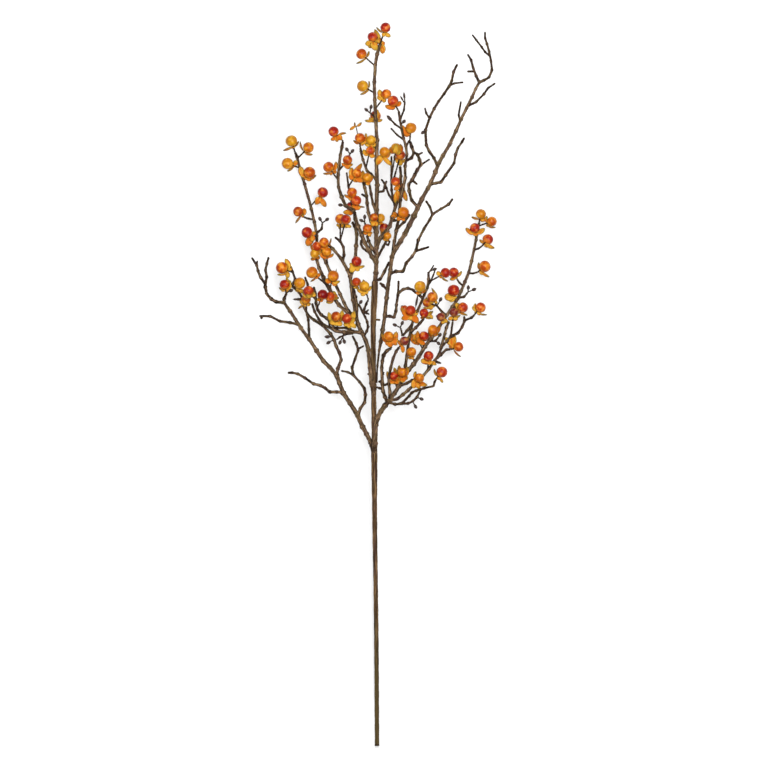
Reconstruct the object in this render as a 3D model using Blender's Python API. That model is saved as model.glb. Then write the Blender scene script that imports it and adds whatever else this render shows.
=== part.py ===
"""A cut branch of bittersweet, lying on a flat surface: a straight stem with three wrapped joints,
and five sprays of forked twigs that carry round berries, their three-pointed husks, and buds.

Places are laid out as on a drawing sheet, in millimetres: x to the right, y down towards the cut
end, and a height above the surface. The origin is on the surface, under the middle of the branch.
"""

import math

import bmesh
import bpy
from mathutils import Matrix, Vector

MM = 0.001
SHEET_MIDDLE = (373.61, 383.92)   # the sheet's point over the origin

# Stem
CUT_END_Y = 746.0
LEVEL_END_Y = 728.0             # from here to the cut end the stem lies flat on the surface
STEM_TOP_Y = 281.3
STEM_CUT_RADIUS = 2.2
STEM_WIDE_RADIUS = 2.6          # between the two lower joints, where four of the sprays set out
STEM_RISE = 0.077               # height gained per millimetre of length
STEM_SIDES = 8
LOW_JOINT = (444.8, 452.0, 3.2)     # each joint: its two ends along the stem and its radius
MID_JOINT = (384.6, 390.0, 3.0)
TOP_JOINT = (STEM_TOP_Y, 299.0, 3.2)
JOINT_STEP = 0.8                # length over which the stem widens into a joint
SEAT_GAP = 0.35                 # clearance between a spray's foot and the stem

# Twigs
HEXAGON_RADIUS = 1.5            # twigs this thick at the root have six sides
THIN_RADIUS = 1.0               # twigs up to this, and all stalks, have three sides; the rest four
ROOT_REACH = 1.5                # a route's first place counts as the root if it is this near one
CREASE = 40                     # degrees above which an edge is sharp

# Berries, husks and buds
STALK_RADIUS = 0.6
STALK_HOLD = 0.6                # depth of a stalk inside its berry, in berry radii
BERRY_STANDOFF = 3.0            # least distance from a twig's centre line to a berry's skin
FLOOR_CLEARANCE = 0.8
HUSK_VALVES = 3
HUSK_THICKNESS = 0.75
HUSK_GAP = 0.3                  # between the berry's skin and the husk's heart
BERRY_SEGMENTS = 6
BERRY_RINGS = 4
HEART_REACH = 0.72              # a husk's form, in berry radii: the flat heart and the valve tips
HEART_LIFT = 0.06
TIP_REACH = (1.45, 0.2)         # for a closed valve, and what opening adds
TIP_LIFT = (0.62, -0.75)
BUD_RADIUS = 1.5
BUD_STRETCH = 1.5
BUD_HOLD = 0.5                  # depth of a stalk inside its bud, in bud radii
STEM_BROWN = (0.20, 0.115, 0.06)
TWIG_BROWN = (0.14, 0.085, 0.05)


def clear_scene():
    for item in list(bpy.data.objects):
        bpy.data.objects.remove(item, do_unlink=True)


def place(x, y, height):
    """A sheet place as a point of the part, in metres."""
    return Vector(((x - SHEET_MIDDLE[0]) * MM, (SHEET_MIDDLE[1] - y) * MM, height * MM))


def material(name, colour, roughness):
    made = bpy.data.materials.new(name)
    made.use_nodes = True
    shader = made.node_tree.nodes["Principled BSDF"]
    shader.inputs["Base Color"].default_value = (*colour, 1.0)
    shader.inputs["Roughness"].default_value = roughness
    shader.inputs["Metallic"].default_value = 0.0
    return made


def mesh_object(name, mesh):
    made = bpy.data.objects.new(name, mesh)
    bpy.context.scene.collection.objects.link(made)
    return made


def from_bmesh(name, bm):
    bmesh.ops.recalc_face_normals(bm, faces=bm.faces)
    mesh = bpy.data.meshes.new(name)
    bm.to_mesh(mesh)
    bm.free()
    return mesh_object(name, mesh)


def rod(name, points, radii, sides):
    """A closed round rod along points given in sheet millimetres. Its first side faces down."""
    bm = bmesh.new()
    line = [place(*point) for point in points]
    rings = []
    for i, centre in enumerate(line):
        ahead = (line[min(i + 1, len(line) - 1)] - line[max(i - 1, 0)]).normalized()
        down = Vector((0, 0, -1))
        if abs(ahead.z) > 0.9:
            down = Vector((1, 0, 0))
        down = (down - ahead * ahead.dot(down)).normalized()
        across = ahead.cross(down)
        ring = []
        for k in range(sides):
            turn = (k + 0.5) * math.tau / sides
            out = down * math.cos(turn) + across * math.sin(turn)
            ring.append(bm.verts.new(centre + out * radii[i] * MM))
        rings.append(ring)
    for low, high in zip(rings, rings[1:]):
        for k in range(sides):
            n = (k + 1) % sides
            bm.faces.new((low[k], low[n], high[n], high[k]))
    bm.faces.new(rings[0])
    bm.faces.new(rings[-1])
    return from_bmesh(name, bm)


def join_all(name, pieces, look):
    """One Boolean union of the pieces, made solid in the first one."""
    main, rest = pieces[0], pieces[1:]
    main.name = name
    if rest:
        group = bpy.data.collections.new(name + "_pieces")
        bpy.context.scene.collection.children.link(group)
        for piece in rest:
            bpy.context.scene.collection.objects.unlink(piece)
            group.objects.link(piece)
        union = main.modifiers.new("join", "BOOLEAN")
        union.operation = "UNION"
        union.operand_type = "COLLECTION"
        union.collection = group
        union.solver = "MANIFOLD"
        bpy.context.view_layer.update()
        depsgraph = bpy.context.evaluated_depsgraph_get()
        solid = bpy.data.meshes.new_from_object(main.evaluated_get(depsgraph))
        main.modifiers.clear()
        main.data = solid
        for piece in rest:
            bpy.data.objects.remove(piece, do_unlink=True)
        bpy.data.collections.remove(group)
    main.data.materials.clear()
    main.data.materials.append(look)
    main.data.shade_smooth()
    main.data.set_sharp_from_angle(angle=math.radians(CREASE))
    return main


def stem_height(y):
    """Height of the stem's centre line over the surface."""
    level = STEM_CUT_RADIUS * math.cos(math.pi / STEM_SIDES)
    return level + max(0.0, LEVEL_END_Y - y) * STEM_RISE


class Spray:
    """Twigs laid out from a foot on the stem, with the closed bodies that will be joined."""

    def __init__(self, name, foot_height):
        self.name = name
        self.foot_height = foot_height
        self.lines = []
        self.pieces = []

    def nearest(self, x, y):
        """The point of the laid twigs that lies nearest on the sheet."""
        best, found = None, None
        for line in self.lines:
            for a, b in zip(line, line[1:]):
                dx, dy = b[0] - a[0], b[1] - a[1]
                length2 = dx * dx + dy * dy or 1.0
                t = min(1.0, max(0.0, ((x - a[0]) * dx + (y - a[1]) * dy) / length2))
                point = tuple(a[i] + (b[i] - a[i]) * t for i in range(3))
                off = math.hypot(point[0] - x, point[1] - y)
                if best is None or off < best:
                    best, found = off, point
        return found

    def twig(self, thick, thin, rise, *route):
        """A twig from its root on an older twig. A third number in a route is a local radius."""
        if self.lines:
            root = self.nearest(*route[0][:2])
            start, height = [root[:2]], root[2]
            route = route[1:] if math.dist(root[:2], route[0][:2]) < ROOT_REACH else route
        else:
            start, height = [route[0][:2]], self.foot_height
            route = route[1:]
        flat = start + [point[:2] for point in route]
        run = [0.0]
        for a, b in zip(flat, flat[1:]):
            run.append(run[-1] + math.dist(a, b))
        line = [(*p, height + rise * s / run[-1]) for p, s in zip(flat, run)]
        fixed = [(0.0, thick)]
        fixed += [(s, p[2]) for s, p in zip(run[1:], route) if len(p) > 2]
        fixed.append((run[-1], thin))
        radii = [between(fixed, s) for s in run]
        self.lines.append(line)
        sides = 6 if thick >= HEXAGON_RADIUS else 4 if thick > THIN_RADIUS else 3
        self.pieces.append(rod(self.name + "_twig", line, radii, sides))

    def berry(self, x, y, radius, lift, root_x, root_y, rests=False):
        """A berry in its husk, on a stalk from a twig. One that rests lies on the surface."""
        root = self.nearest(root_x, root_y)
        off = math.dist((x, y), root[:2])
        need = radius + BERRY_STANDOFF
        if off < need:
            least = math.sqrt(need * need - off * off)
            lift = math.copysign(max(abs(lift), least), lift)
        height = max(root[2] + lift, radius + FLOOR_CLEARANCE)
        if rests:
            height = radius
        self.stalk(root, (x, y, height), radius * STALK_HOLD)
        self.husk((x, y, height), root, radius)
        bm = bmesh.new()
        bmesh.ops.create_uvsphere(bm, u_segments=BERRY_SEGMENTS, v_segments=BERRY_RINGS,
                                  radius=radius * MM,
                                  matrix=Matrix.Translation(place(x, y, height)))
        self.pieces.append(from_bmesh(self.name + "_berry", bm))

    def stalk(self, root, end, short_of):
        """A thin stalk that ends a little inside what it carries."""
        reach = math.dist(root, end)
        stop = tuple(root[i] + (end[i] - root[i]) * (1 - short_of / reach) for i in range(3))
        self.pieces.append(rod(self.name + "_stalk", [root, stop], [STALK_RADIUS] * 2, 3))

    def husk(self, centre, root, radius):
        """Pointed valves that open round a berry, from a small flat heart that the stalk enters.
        The place on the sheet decides how a husk is turned and how far each valve has opened."""
        axis = (place(*centre) - place(*root)).normalized()
        side = axis.orthogonal().normalized()
        across = axis.cross(side)
        first = math.radians((centre[0] * 37 + centre[1] * 91) % 360)
        heart = -1.0 - HUSK_GAP / radius
        thick = HUSK_THICKNESS / radius
        rim = []
        for k in range(HUSK_VALVES):
            turn = first + k * math.tau / HUSK_VALVES
            opened = 0.5 + 0.5 * math.sin(first * 3 + k * 2.1)
            rim.append((turn - math.pi / HUSK_VALVES, HEART_REACH, heart + HEART_LIFT))
            rim.append((turn, TIP_REACH[0] + TIP_REACH[1] * opened,
                        heart + TIP_LIFT[0] + TIP_LIFT[1] * opened))
        bm = bmesh.new()
        sheets = [[], []]
        for turn, out, drop in rim:
            wide = (side * math.cos(turn) + across * math.sin(turn)) * out
            inner = place(*centre) + (wide + axis * drop) * radius * MM
            outer = inner - axis * thick * radius * MM
            lift = max(0.0, FLOOR_CLEARANCE * MM - min(inner.z, outer.z))
            for sheet, point in zip(sheets, (inner, outer)):
                sheet.append(bm.verts.new(point + Vector((0, 0, lift))))
        count = len(rim)
        for sheet in sheets:
            bm.faces.new([sheet[2 * k] for k in range(HUSK_VALVES)])
            for k in range(HUSK_VALVES):
                bm.faces.new((sheet[2 * k], sheet[2 * k + 1], sheet[(2 * k + 2) % count]))
        inner, outer = sheets
        for i in range(count):
            n = (i + 1) % count
            bm.faces.new((inner[i], outer[i], outer[n]))
            bm.faces.new((inner[i], outer[n], inner[n]))
        self.pieces.append(from_bmesh(self.name + "_husk", bm))

    def bud(self, x, y, root_x, root_y, lift=1.0):
        """An oval bud on a thin stalk."""
        root = self.nearest(root_x, root_y)
        centre = (x, y, root[2] + lift)
        self.stalk(root, centre, BUD_RADIUS * BUD_HOLD)
        along = (place(*centre) - place(*root)).normalized()
        turn = along.to_track_quat("Z", "Y").to_matrix().to_4x4()
        bm = bmesh.new()
        bmesh.ops.create_uvsphere(bm, u_segments=4, v_segments=2, radius=BUD_RADIUS * MM)
        shape = Matrix.Translation(place(*centre)) @ turn @ Matrix.Diagonal((1, 1, BUD_STRETCH, 1))
        bmesh.ops.transform(bm, matrix=shape, verts=bm.verts)
        self.pieces.append(from_bmesh(self.name + "_bud", bm))

    def join(self, look):
        return join_all(self.name, self.pieces, look)


def between(fixed, s):
    """The value at s on straight lines between (place, value) pairs."""
    for (s0, v0), (s1, v1) in zip(fixed, fixed[1:]):
        if s <= s1:
            return v0 + (v1 - v0) * (s - s0) / max(s1 - s0, 1e-6)
    return fixed[-1][1]


def seat_height(x, y, stem_x, radius, over):
    """Height at which a foot of this radius lies on (over=1) or under (over=-1) the stem."""
    apart = STEM_WIDE_RADIUS + radius + SEAT_GAP
    return stem_height(y) + over * math.sqrt(apart ** 2 - (x - stem_x) ** 2)


def main_stem(look):
    low, mid, top = LOW_JOINT, MID_JOINT, TOP_JOINT
    route = [(377.0, CUT_END_Y, STEM_CUT_RADIUS), (376.9, LEVEL_END_Y, STEM_CUT_RADIUS),
             (376.3, 640.0, 2.3), (375.5, 580.0, 2.3), (374.8, 540.0, 2.45), (374.4, 500.0, 2.6),
             (374.3, 478.0, 3.0), (374.1, low[1], low[2]), (374.1, low[0], low[2]),
             (374.1, low[0] - JOINT_STEP, STEM_WIDE_RADIUS),
             (373.5, mid[1] + JOINT_STEP, STEM_WIDE_RADIUS), (373.5, mid[1], mid[2]),
             (373.5, mid[0], mid[2]), (373.5, mid[0] - JOINT_STEP, STEM_WIDE_RADIUS),
             (373.5, 368.0, 2.45), (373.2, 346.0, 2.5), (373.1, 328.0, 2.7), (373.5, 310.0, 3.0),
             (374.2, top[1], top[2]), (374.8, top[0], top[2])]
    line = [(x, y, stem_height(y)) for x, y, _ in route]
    pieces = [rod("stem", line, [radius for _, _, radius in route], STEM_SIDES)]
    for start_x, y, end_x in ((374.0, 320.0, 380.4), (373.5, 374.2, 367.2)):
        height = stem_height(y)
        pieces.append(rod("stub", [(start_x, y, height), (end_x, y, height)], [1.0, 0.9], 4))
    return join_all("main_stem", pieces, look)


def centre_spray(look):
    s = Spray("centre_spray", stem_height(280.9))
    s.twig(2.2, 1.2, 18, (374.9, 280.9), (375.6, 265), (375.8, 250), (376.2, 232), (376.6, 210),
           (377, 185), (376.5, 160), (377, 140), (375.8, 120), (374.8, 100), (374.3, 82),
           (375.2, 65), (377.3, 54), (380.6, 43))
    s.twig(1.9, 1.4, 9, (375.7, 256), (371, 249), (367, 240), (363, 231), (356, 219), (354.3, 211))
    s.twig(1.0, 0.7, 3, (375.3, 264), (370.5, 255), (366, 249.5), (362, 246), (360.3, 240.5))
    s.twig(1.4, 1.0, 6, (376, 233), (371, 222), (368.3, 213), (367, 203), (366.5, 196),
           (364.8, 188), (362.8, 180))
    s.twig(0.8, 0.6, 1, (366.4, 197), (361, 194))
    s.twig(0.95, 0.8, 4, (376.5, 214), (373, 204), (371.3, 194), (369.3, 184))
    s.twig(1.0, 0.7, 7, (377, 180), (371, 174), (367, 171), (363, 160), (361, 152), (360.2, 147))
    s.twig(1.5, 0.8, -6, (354.3, 211), (345.5, 206), (341.5, 197), (338.3, 187), (338, 175),
           (339, 165), (340.5, 155), (342, 147), (343, 141))
    s.twig(0.8, 0.5, 3, (354.3, 211), (349.5, 196), (348.2, 186), (346.5, 172))
    s.twig(1.7, 1.0, 5, (375.9, 247), (380, 237), (384.6, 231), (389, 226), (391.8, 216),
           (395.4, 207), (398, 200), (400.5, 190), (401, 176), (400, 166))
    s.twig(1.0, 0.7, -2, (395.4, 207), (393, 198), (391.6, 190), (391.4, 175), (391.5, 157))
    s.twig(1.0, 0.8, -3, (375.8, 259), (383, 247), (386.3, 240.5))
    s.twig(0.8, 0.6, 4, (376.9, 192), (383.6, 191.3), (384.6, 186), (386.8, 180.6))
    s.twig(0.7, 0.6, -1, (394, 203), (389, 195), (386.5, 188), (384.8, 183.5), (381, 179))
    s.twig(0.9, 0.8, -3, (375.2, 275), (380.3, 276), (384, 271), (387.4, 265.5))
    s.twig(0.6, 0.5, 1, (375.8, 118), (370, 113))
    s.twig(0.6, 0.5, -2, (339.2, 171), (344, 164), (350, 154))
    s.twig(0.6, 0.5, 1, (363.5, 232), (365.5, 226), (364.5, 222))
    for berry in (
            (385.5, 27.5, 5.2, 3, 380.6, 43), (372.5, 37, 5, -4, 378.5, 51),
            (361.5, 54, 5.3, 2, 375, 66), (362.5, 86, 5.8, 2, 374.3, 93),
            (386.5, 94, 5, 5, 375.5, 109), (375.5, 116, 5.4, -8, 375.6, 124),
            (371, 140, 5, 5, 376.7, 150), (370, 150.5, 4.3, 4, 366, 168),
            (384.5, 152, 5.2, 3, 376.6, 167), (373.5, 217.5, 5, -7, 376.3, 226),
            (380.5, 218, 4.6, -4, 376.3, 229), (384, 227.5, 4.8, -6, 380.5, 236),
            (387.5, 236, 4, 2, 386.2, 241), (367.5, 228.5, 4.6, 5, 367, 240),
            (360, 138, 5.2, 1, 360.2, 147), (333.5, 131.5, 5.3, 2, 343, 141),
            (347.5, 160, 4.8, 5, 339.2, 171), (328.5, 167, 5.3, 1, 338, 180),
            (357, 173, 4.8, 4, 348.3, 187), (366.8, 177.5, 4.8, 6, 364.5, 187),
            (352, 192.5, 5, 4, 352, 204), (356.2, 200.5, 5.2, 5, 354.6, 213),
            (350.5, 206.5, 4.6, -5, 354.5, 213), (395.5, 181.5, 4.6, 3, 397.5, 201),
            (396, 148, 5, 3, 391.4, 178), (400.5, 155, 5, -4, 391.4, 178)):
        s.berry(*berry)
    for bud in ((366.5, 110, 370, 113), (371, 107, 370, 113), (340.5, 205, 344.5, 205.5),
                (347, 149.5, 350, 154), (352.5, 151, 350, 154), (361.3, 220.5, 364.5, 222),
                (364.7, 217, 364.5, 222)):
        s.bud(*bud)
    return s.join(look)


def left_berry_spray(look):
    s = Spray("left_berry_spray", seat_height(371.6, 383, 373.5, 2.0, 1))
    s.twig(2.0, 1.1, -4, (371.6, 383), (369.9, 368), (368.6, 350), (365.5, 340), (361.5, 332),
           (358, 324), (355.5, 313), (353, 300), (351.5, 287), (350, 276), (347.5, 270),
           (340.5, 257.5), (333, 249), (327, 243.5))
    s.twig(1.5, 0.9, -29, (357, 320), (349, 314), (339, 305), (335, 299), (329, 288),
           (323.5, 277.5), (319, 268), (316.5, 259), (317, 236), (314.5, 222), (311.5, 209),
           (308, 196), (304.5, 184), (301.5, 175), (297, 157), (295, 152))
    s.twig(1.3, 1.1, -10, (356.5, 318), (348.5, 311), (344, 303), (340, 294.5), (335.5, 285),
           (330, 272), (326, 263), (323, 256), (320.5, 250))
    s.twig(1.2, 0.9, 3, (356.4, 317), (357, 305), (355.5, 297), (353.4, 288))
    s.twig(1.2, 1.0, 4, (350.5, 278), (353.5, 268), (355.3, 257), (356, 246, 1.5), (356.8, 234),
           (355, 226), (352, 221.5))
    s.twig(0.9, 0.7, 4, (342.5, 261), (344, 255), (343.3, 247), (340, 241), (334.6, 237))
    s.twig(1.5, 1.2, 3, (361.5, 333), (352, 331.5), (344, 332), (336, 331), (330, 327.5))
    s.twig(1.0, 0.8, 5, (334, 330), (331.5, 323), (326.5, 318.3), (321, 315), (317.5, 310),
           (315.7, 303), (315.7, 294), (313.7, 286.5))
    s.twig(0.9, 0.7, 6, (330, 327.5), (324, 325), (319, 319.5), (314.5, 311.5), (312, 303))
    s.twig(0.7, 0.6, 5, (334, 297.5), (330, 291), (324, 281.8), (319.5, 279))
    s.twig(0.8, 0.6, 6, (364, 336), (366.8, 331.5), (368.3, 327), (367.3, 322), (365, 317),
           (362.5, 312), (358.8, 304.5))
    s.twig(0.7, 0.6, 3, (363, 313.5), (364, 309), (366, 304), (368.3, 299.5))
    s.twig(0.6, 0.5, 1, (345, 332), (342.7, 337))
    s.twig(0.8, 0.6, 2, (317, 233), (321.7, 229), (322.4, 223))
    s.berry(291.5, 141, 5.8, 0, 295, 152, rests=True)
    for berry in (
            (308.5, 147.5, 5.5, 1, 297.5, 158.5), (287.5, 163.5, 5.8, 2, 299.3, 168),
            (309.5, 172.5, 5.8, 3, 303, 181), (322.8, 192.5, 5.4, 5, 311, 206),
            (298, 211.5, 5.1, 3, 313.5, 218.5), (307, 232.5, 5.6, 5, 316.8, 238),
            (324, 242.5, 5, 2, 333, 249), (316.8, 246.3, 4.8, 7, 323, 256),
            (314.6, 253.6, 4.8, 6, 317, 261), (326.6, 251.8, 4.9, 4, 327.5, 266),
            (312, 272.5, 5.8, 3, 319.5, 279), (333.3, 276, 5.8, 2, 329.5, 290),
            (322.8, 295, 4.8, 3, 316.8, 308.5), (329, 297.5, 4.8, 7, 336.5, 301.5),
            (308.5, 291, 5.2, 2, 315.7, 300), (336, 317, 6, 6, 338, 331.3),
            (346.8, 318.6, 5, 9, 352, 331.5), (356.5, 261.5, 5.2, 6, 349.3, 274),
            (356.5, 282, 4.6, 5, 352, 291), (364.2, 286, 5.3, 5, 368.3, 299.5),
            (346, 219.5, 5, 2, 340.5, 241), (340.5, 219, 5.3, -4, 340.5, 241)):
        s.berry(*berry)
    for bud in ((360.8, 302, 358.8, 304.5), (340, 342.5, 342.7, 337), (344.2, 341.5, 342.7, 337),
                (320, 219, 322.4, 223), (327, 219.5, 322.4, 223)):
        s.bud(*bud)
    return s.join(look)


def left_low_spray(look):
    s = Spray("left_low_spray", seat_height(371, 442.5, 374.1, 1.9, -1))
    s.twig(1.9, 1.3, 3, (371, 442.5), (362.5, 428), (357.5, 415.5), (350, 403), (343.5, 393),
           (339.5, 383), (336.5, 375.5), (330, 367.5), (323.5, 361), (316.5, 350.5),
           (309.5, 339.5), (301, 328), (295.5, 319.5), (290, 311), (284, 302.5))
    s.twig(1.3, 1.1, 3, (284, 302.8), (276, 302), (271, 299), (266.8, 294), (265.5, 287),
           (265.3, 283.5))
    s.twig(0.9, 0.7, 5, (265.4, 284), (267, 277), (265.5, 270), (266.7, 264), (268.7, 256.8))
    s.twig(1.0, 0.7, 3, (265.3, 284), (260.5, 277.5), (258, 271), (256.8, 265.5), (251.5, 257.3))
    s.twig(0.7, 0.5, 1, (256.9, 265), (257.3, 260.5))
    s.twig(1.0, 0.8, 2, (284, 302.5), (284, 298.5), (286.8, 292.5))
    s.twig(1.2, 0.8, -7, (343, 392.5), (337, 392), (329.8, 392), (325.5, 388), (320.6, 385.3),
           (313.5, 384), (305, 378), (298, 374), (292, 372.7), (287.5, 373))
    s.twig(1.0, 0.7, -2, (298, 324.5), (290, 322.5), (280, 321.3), (270.4, 316.3), (259, 316))
    s.twig(0.8, 0.7, 0, (261.5, 316), (261.5, 319.3))
    s.twig(1.2, 0.6, 1, (358, 416), (360, 408.5), (364.5, 402.5), (365.3, 395), (364.3, 388.5),
           (359.5, 382), (353.5, 375), (348, 372), (340.8, 370.8))
    s.twig(1.0, 0.7, 5, (353.2, 375), (352, 367.5), (354.8, 359.5), (358.3, 350), (356.5, 343.5),
           (352.3, 335.5))
    s.twig(0.6, 0.5, 1, (358.3, 349), (364.3, 345.7))
    s.twig(1.3, 0.8, 4, (337, 376), (338, 368.5), (341.2, 360), (339.3, 353), (335.8, 346),
           (334, 340), (330.5, 334), (322.5, 325.5), (314, 320), (308, 315), (304.5, 307.5),
           (302.5, 298.5), (299.5, 292.5), (293.5, 287), (291, 283.5))
    s.twig(0.8, 0.6, 1, (292, 285), (295, 279), (292.5, 272), (290.8, 266))
    s.twig(0.9, 0.8, 1, (309.5, 339.5), (308.9, 329), (308.3, 320), (306.5, 312.5))
    s.twig(0.8, 0.5, 0, (302.6, 299.3), (298, 299.3), (293.5, 299.3))
    s.twig(0.7, 0.6, 3, (303, 300), (307, 291), (308, 284.5), (304.8, 276.5))
    for berry in (
            (282, 268, 5.8, 1, 292.8, 272.5), (300.5, 283.5, 5.8, 3, 300.5, 295),
            (306, 299.5, 4.8, 3, 306.5, 312), (284.5, 284.5, 5, 2, 286.5, 294)):
        s.berry(*berry)
    for bud in ((327.5, 337, 332, 337), (328.5, 343.3, 333, 340), (291, 290.5, 286.8, 292.5)):
        s.bud(*bud)
    return s.join(look)


def right_tall_spray(look):
    s = Spray("right_tall_spray", seat_height(376.7, 383, 373.5, 1.2, -1))
    s.twig(1.2, 1.0, 52, (376.7, 383), (377.6, 366), (379.3, 350), (380.9, 342, 1.7),
           (382.6, 330), (385, 315), (386.6, 298, 1.6), (388, 285), (390.5, 270),
           (391.8, 257, 1.6), (396, 248), (401, 241), (405, 234, 2.3), (409.5, 225, 2.3),
           (416.5, 208, 1.7), (422, 199), (427.5, 189), (431, 182, 1.6), (435.5, 172),
           (439, 163), (443, 155.5), (450, 144), (456, 131), (461, 119), (466.5, 108),
           (472, 97), (475.5, 89), (479.3, 82.5))
    s.twig(1.4, 0.8, 16, (391.8, 256), (394.3, 241), (396.5, 231), (398.4, 220), (400.3, 200),
           (403, 189), (405, 178), (405.2, 166), (407, 155), (406, 146), (403.5, 138),
           (400, 120), (398.8, 111))
    s.twig(1.0, 0.9, 5, (396.8, 229), (404.3, 222), (410, 214))
    s.twig(0.8, 0.6, 6, (467.5, 106), (476, 102), (484, 94), (488, 88), (495.5, 83))
    s.twig(0.7, 0.5, 5, (460, 121), (458.5, 115), (461, 101))
    s.twig(0.9, 0.6, 5, (479.3, 82.5), (476, 76), (473, 68), (471, 60), (467.5, 54))
    s.twig(0.6, 0.8, 1, (474, 71.5), (467, 71.5))
    s.twig(0.9, 0.6, -3, (479.3, 82.5), (484, 80.5), (489, 77.5), (492, 70), (491, 61), (489, 51),
           (487, 44), (485, 38), (485, 31.5))
    s.twig(0.6, 0.5, 6, (489.5, 56), (485, 52), (481.5, 47), (476, 40), (472, 34.5))
    s.twig(1.1, 0.7, -8, (431, 185), (436, 183), (441, 182), (445.5, 175), (454, 163),
           (455.5, 155), (458, 148), (462, 142), (464.5, 137.5))
    s.twig(1.1, 0.8, 10, (437.5, 166), (434, 158), (429.5, 152), (426.3, 145), (425.5, 130),
           (430, 117), (434, 109), (438.5, 101.5), (444, 94), (449, 86.5), (451.5, 81),
           (453.5, 72), (457.5, 64))
    s.twig(0.6, 0.5, 1, (449.5, 86), (454, 83.5), (463.5, 82.3))
    s.twig(0.6, 0.5, 1, (429.5, 118), (427, 113), (425, 107.5))
    s.twig(1.1, 0.6, 6, (417, 207), (411.5, 200.5), (409, 191), (408.3, 184.5), (412, 180),
           (415.5, 172), (420, 165), (419, 158), (417, 154), (409, 147))
    s.twig(0.6, 0.5, 1, (417.5, 155), (423, 152.3))
    s.twig(0.6, 0.5, 1, (420, 164.5), (430, 159))
    s.twig(0.7, 0.6, 1, (412, 180), (417.5, 184.5))
    s.twig(1.2, 0.8, 8, (390, 274), (396, 271.5), (403, 271.3), (406, 263), (412, 256.5),
           (416, 250), (418, 240), (423.5, 228), (429.5, 219.5), (433, 214), (441, 209),
           (448.5, 204.5), (453, 198.5))
    s.twig(0.8, 0.7, 1, (432.5, 215), (430, 207), (425.7, 200.5))
    s.twig(0.8, 0.7, 2, (415.5, 251), (422, 249), (429.5, 246.7))
    s.twig(1.0, 0.7, 5, (385, 316.5), (390, 316), (394, 317.5), (396, 311), (396.5, 305),
           (398, 295), (398.5, 280.5))
    s.twig(0.7, 0.6, 1, (398.3, 293.5), (403, 289.5), (409, 288.8))
    s.twig(0.7, 0.5, -2, (387.5, 290), (383, 285.5), (381.8, 284.3))
    s.twig(0.6, 0.5, 1, (401.5, 129), (395, 124.5), (390.5, 119.5))
    s.twig(0.5, 0.5, 1, (404, 140), (397, 135), (390.5, 128))
    s.twig(0.6, 0.5, 1, (406.2, 147), (409.3, 140))
    s.twig(0.6, 0.5, 2, (400, 120), (404, 110), (405, 101.5))
    for berry in (
            (393, 101, 5.5, 1, 398.8, 112), (411, 128, 5.5, 2, 409.3, 140),
            (403.5, 212.5, 5.7, 5, 398, 222), (420, 286.5, 5.8, 4, 409, 288.8)):
        s.berry(*berry)
    for bud in ((387.5, 117, 390.5, 119.5), (404.5, 123.5, 400.4, 124.5), (405, 96, 405, 101.5),
                (401.5, 98.5, 405, 101.5), (423, 132.5, 425.6, 131)):
        s.bud(*bud)
    return s.join(look)


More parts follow.
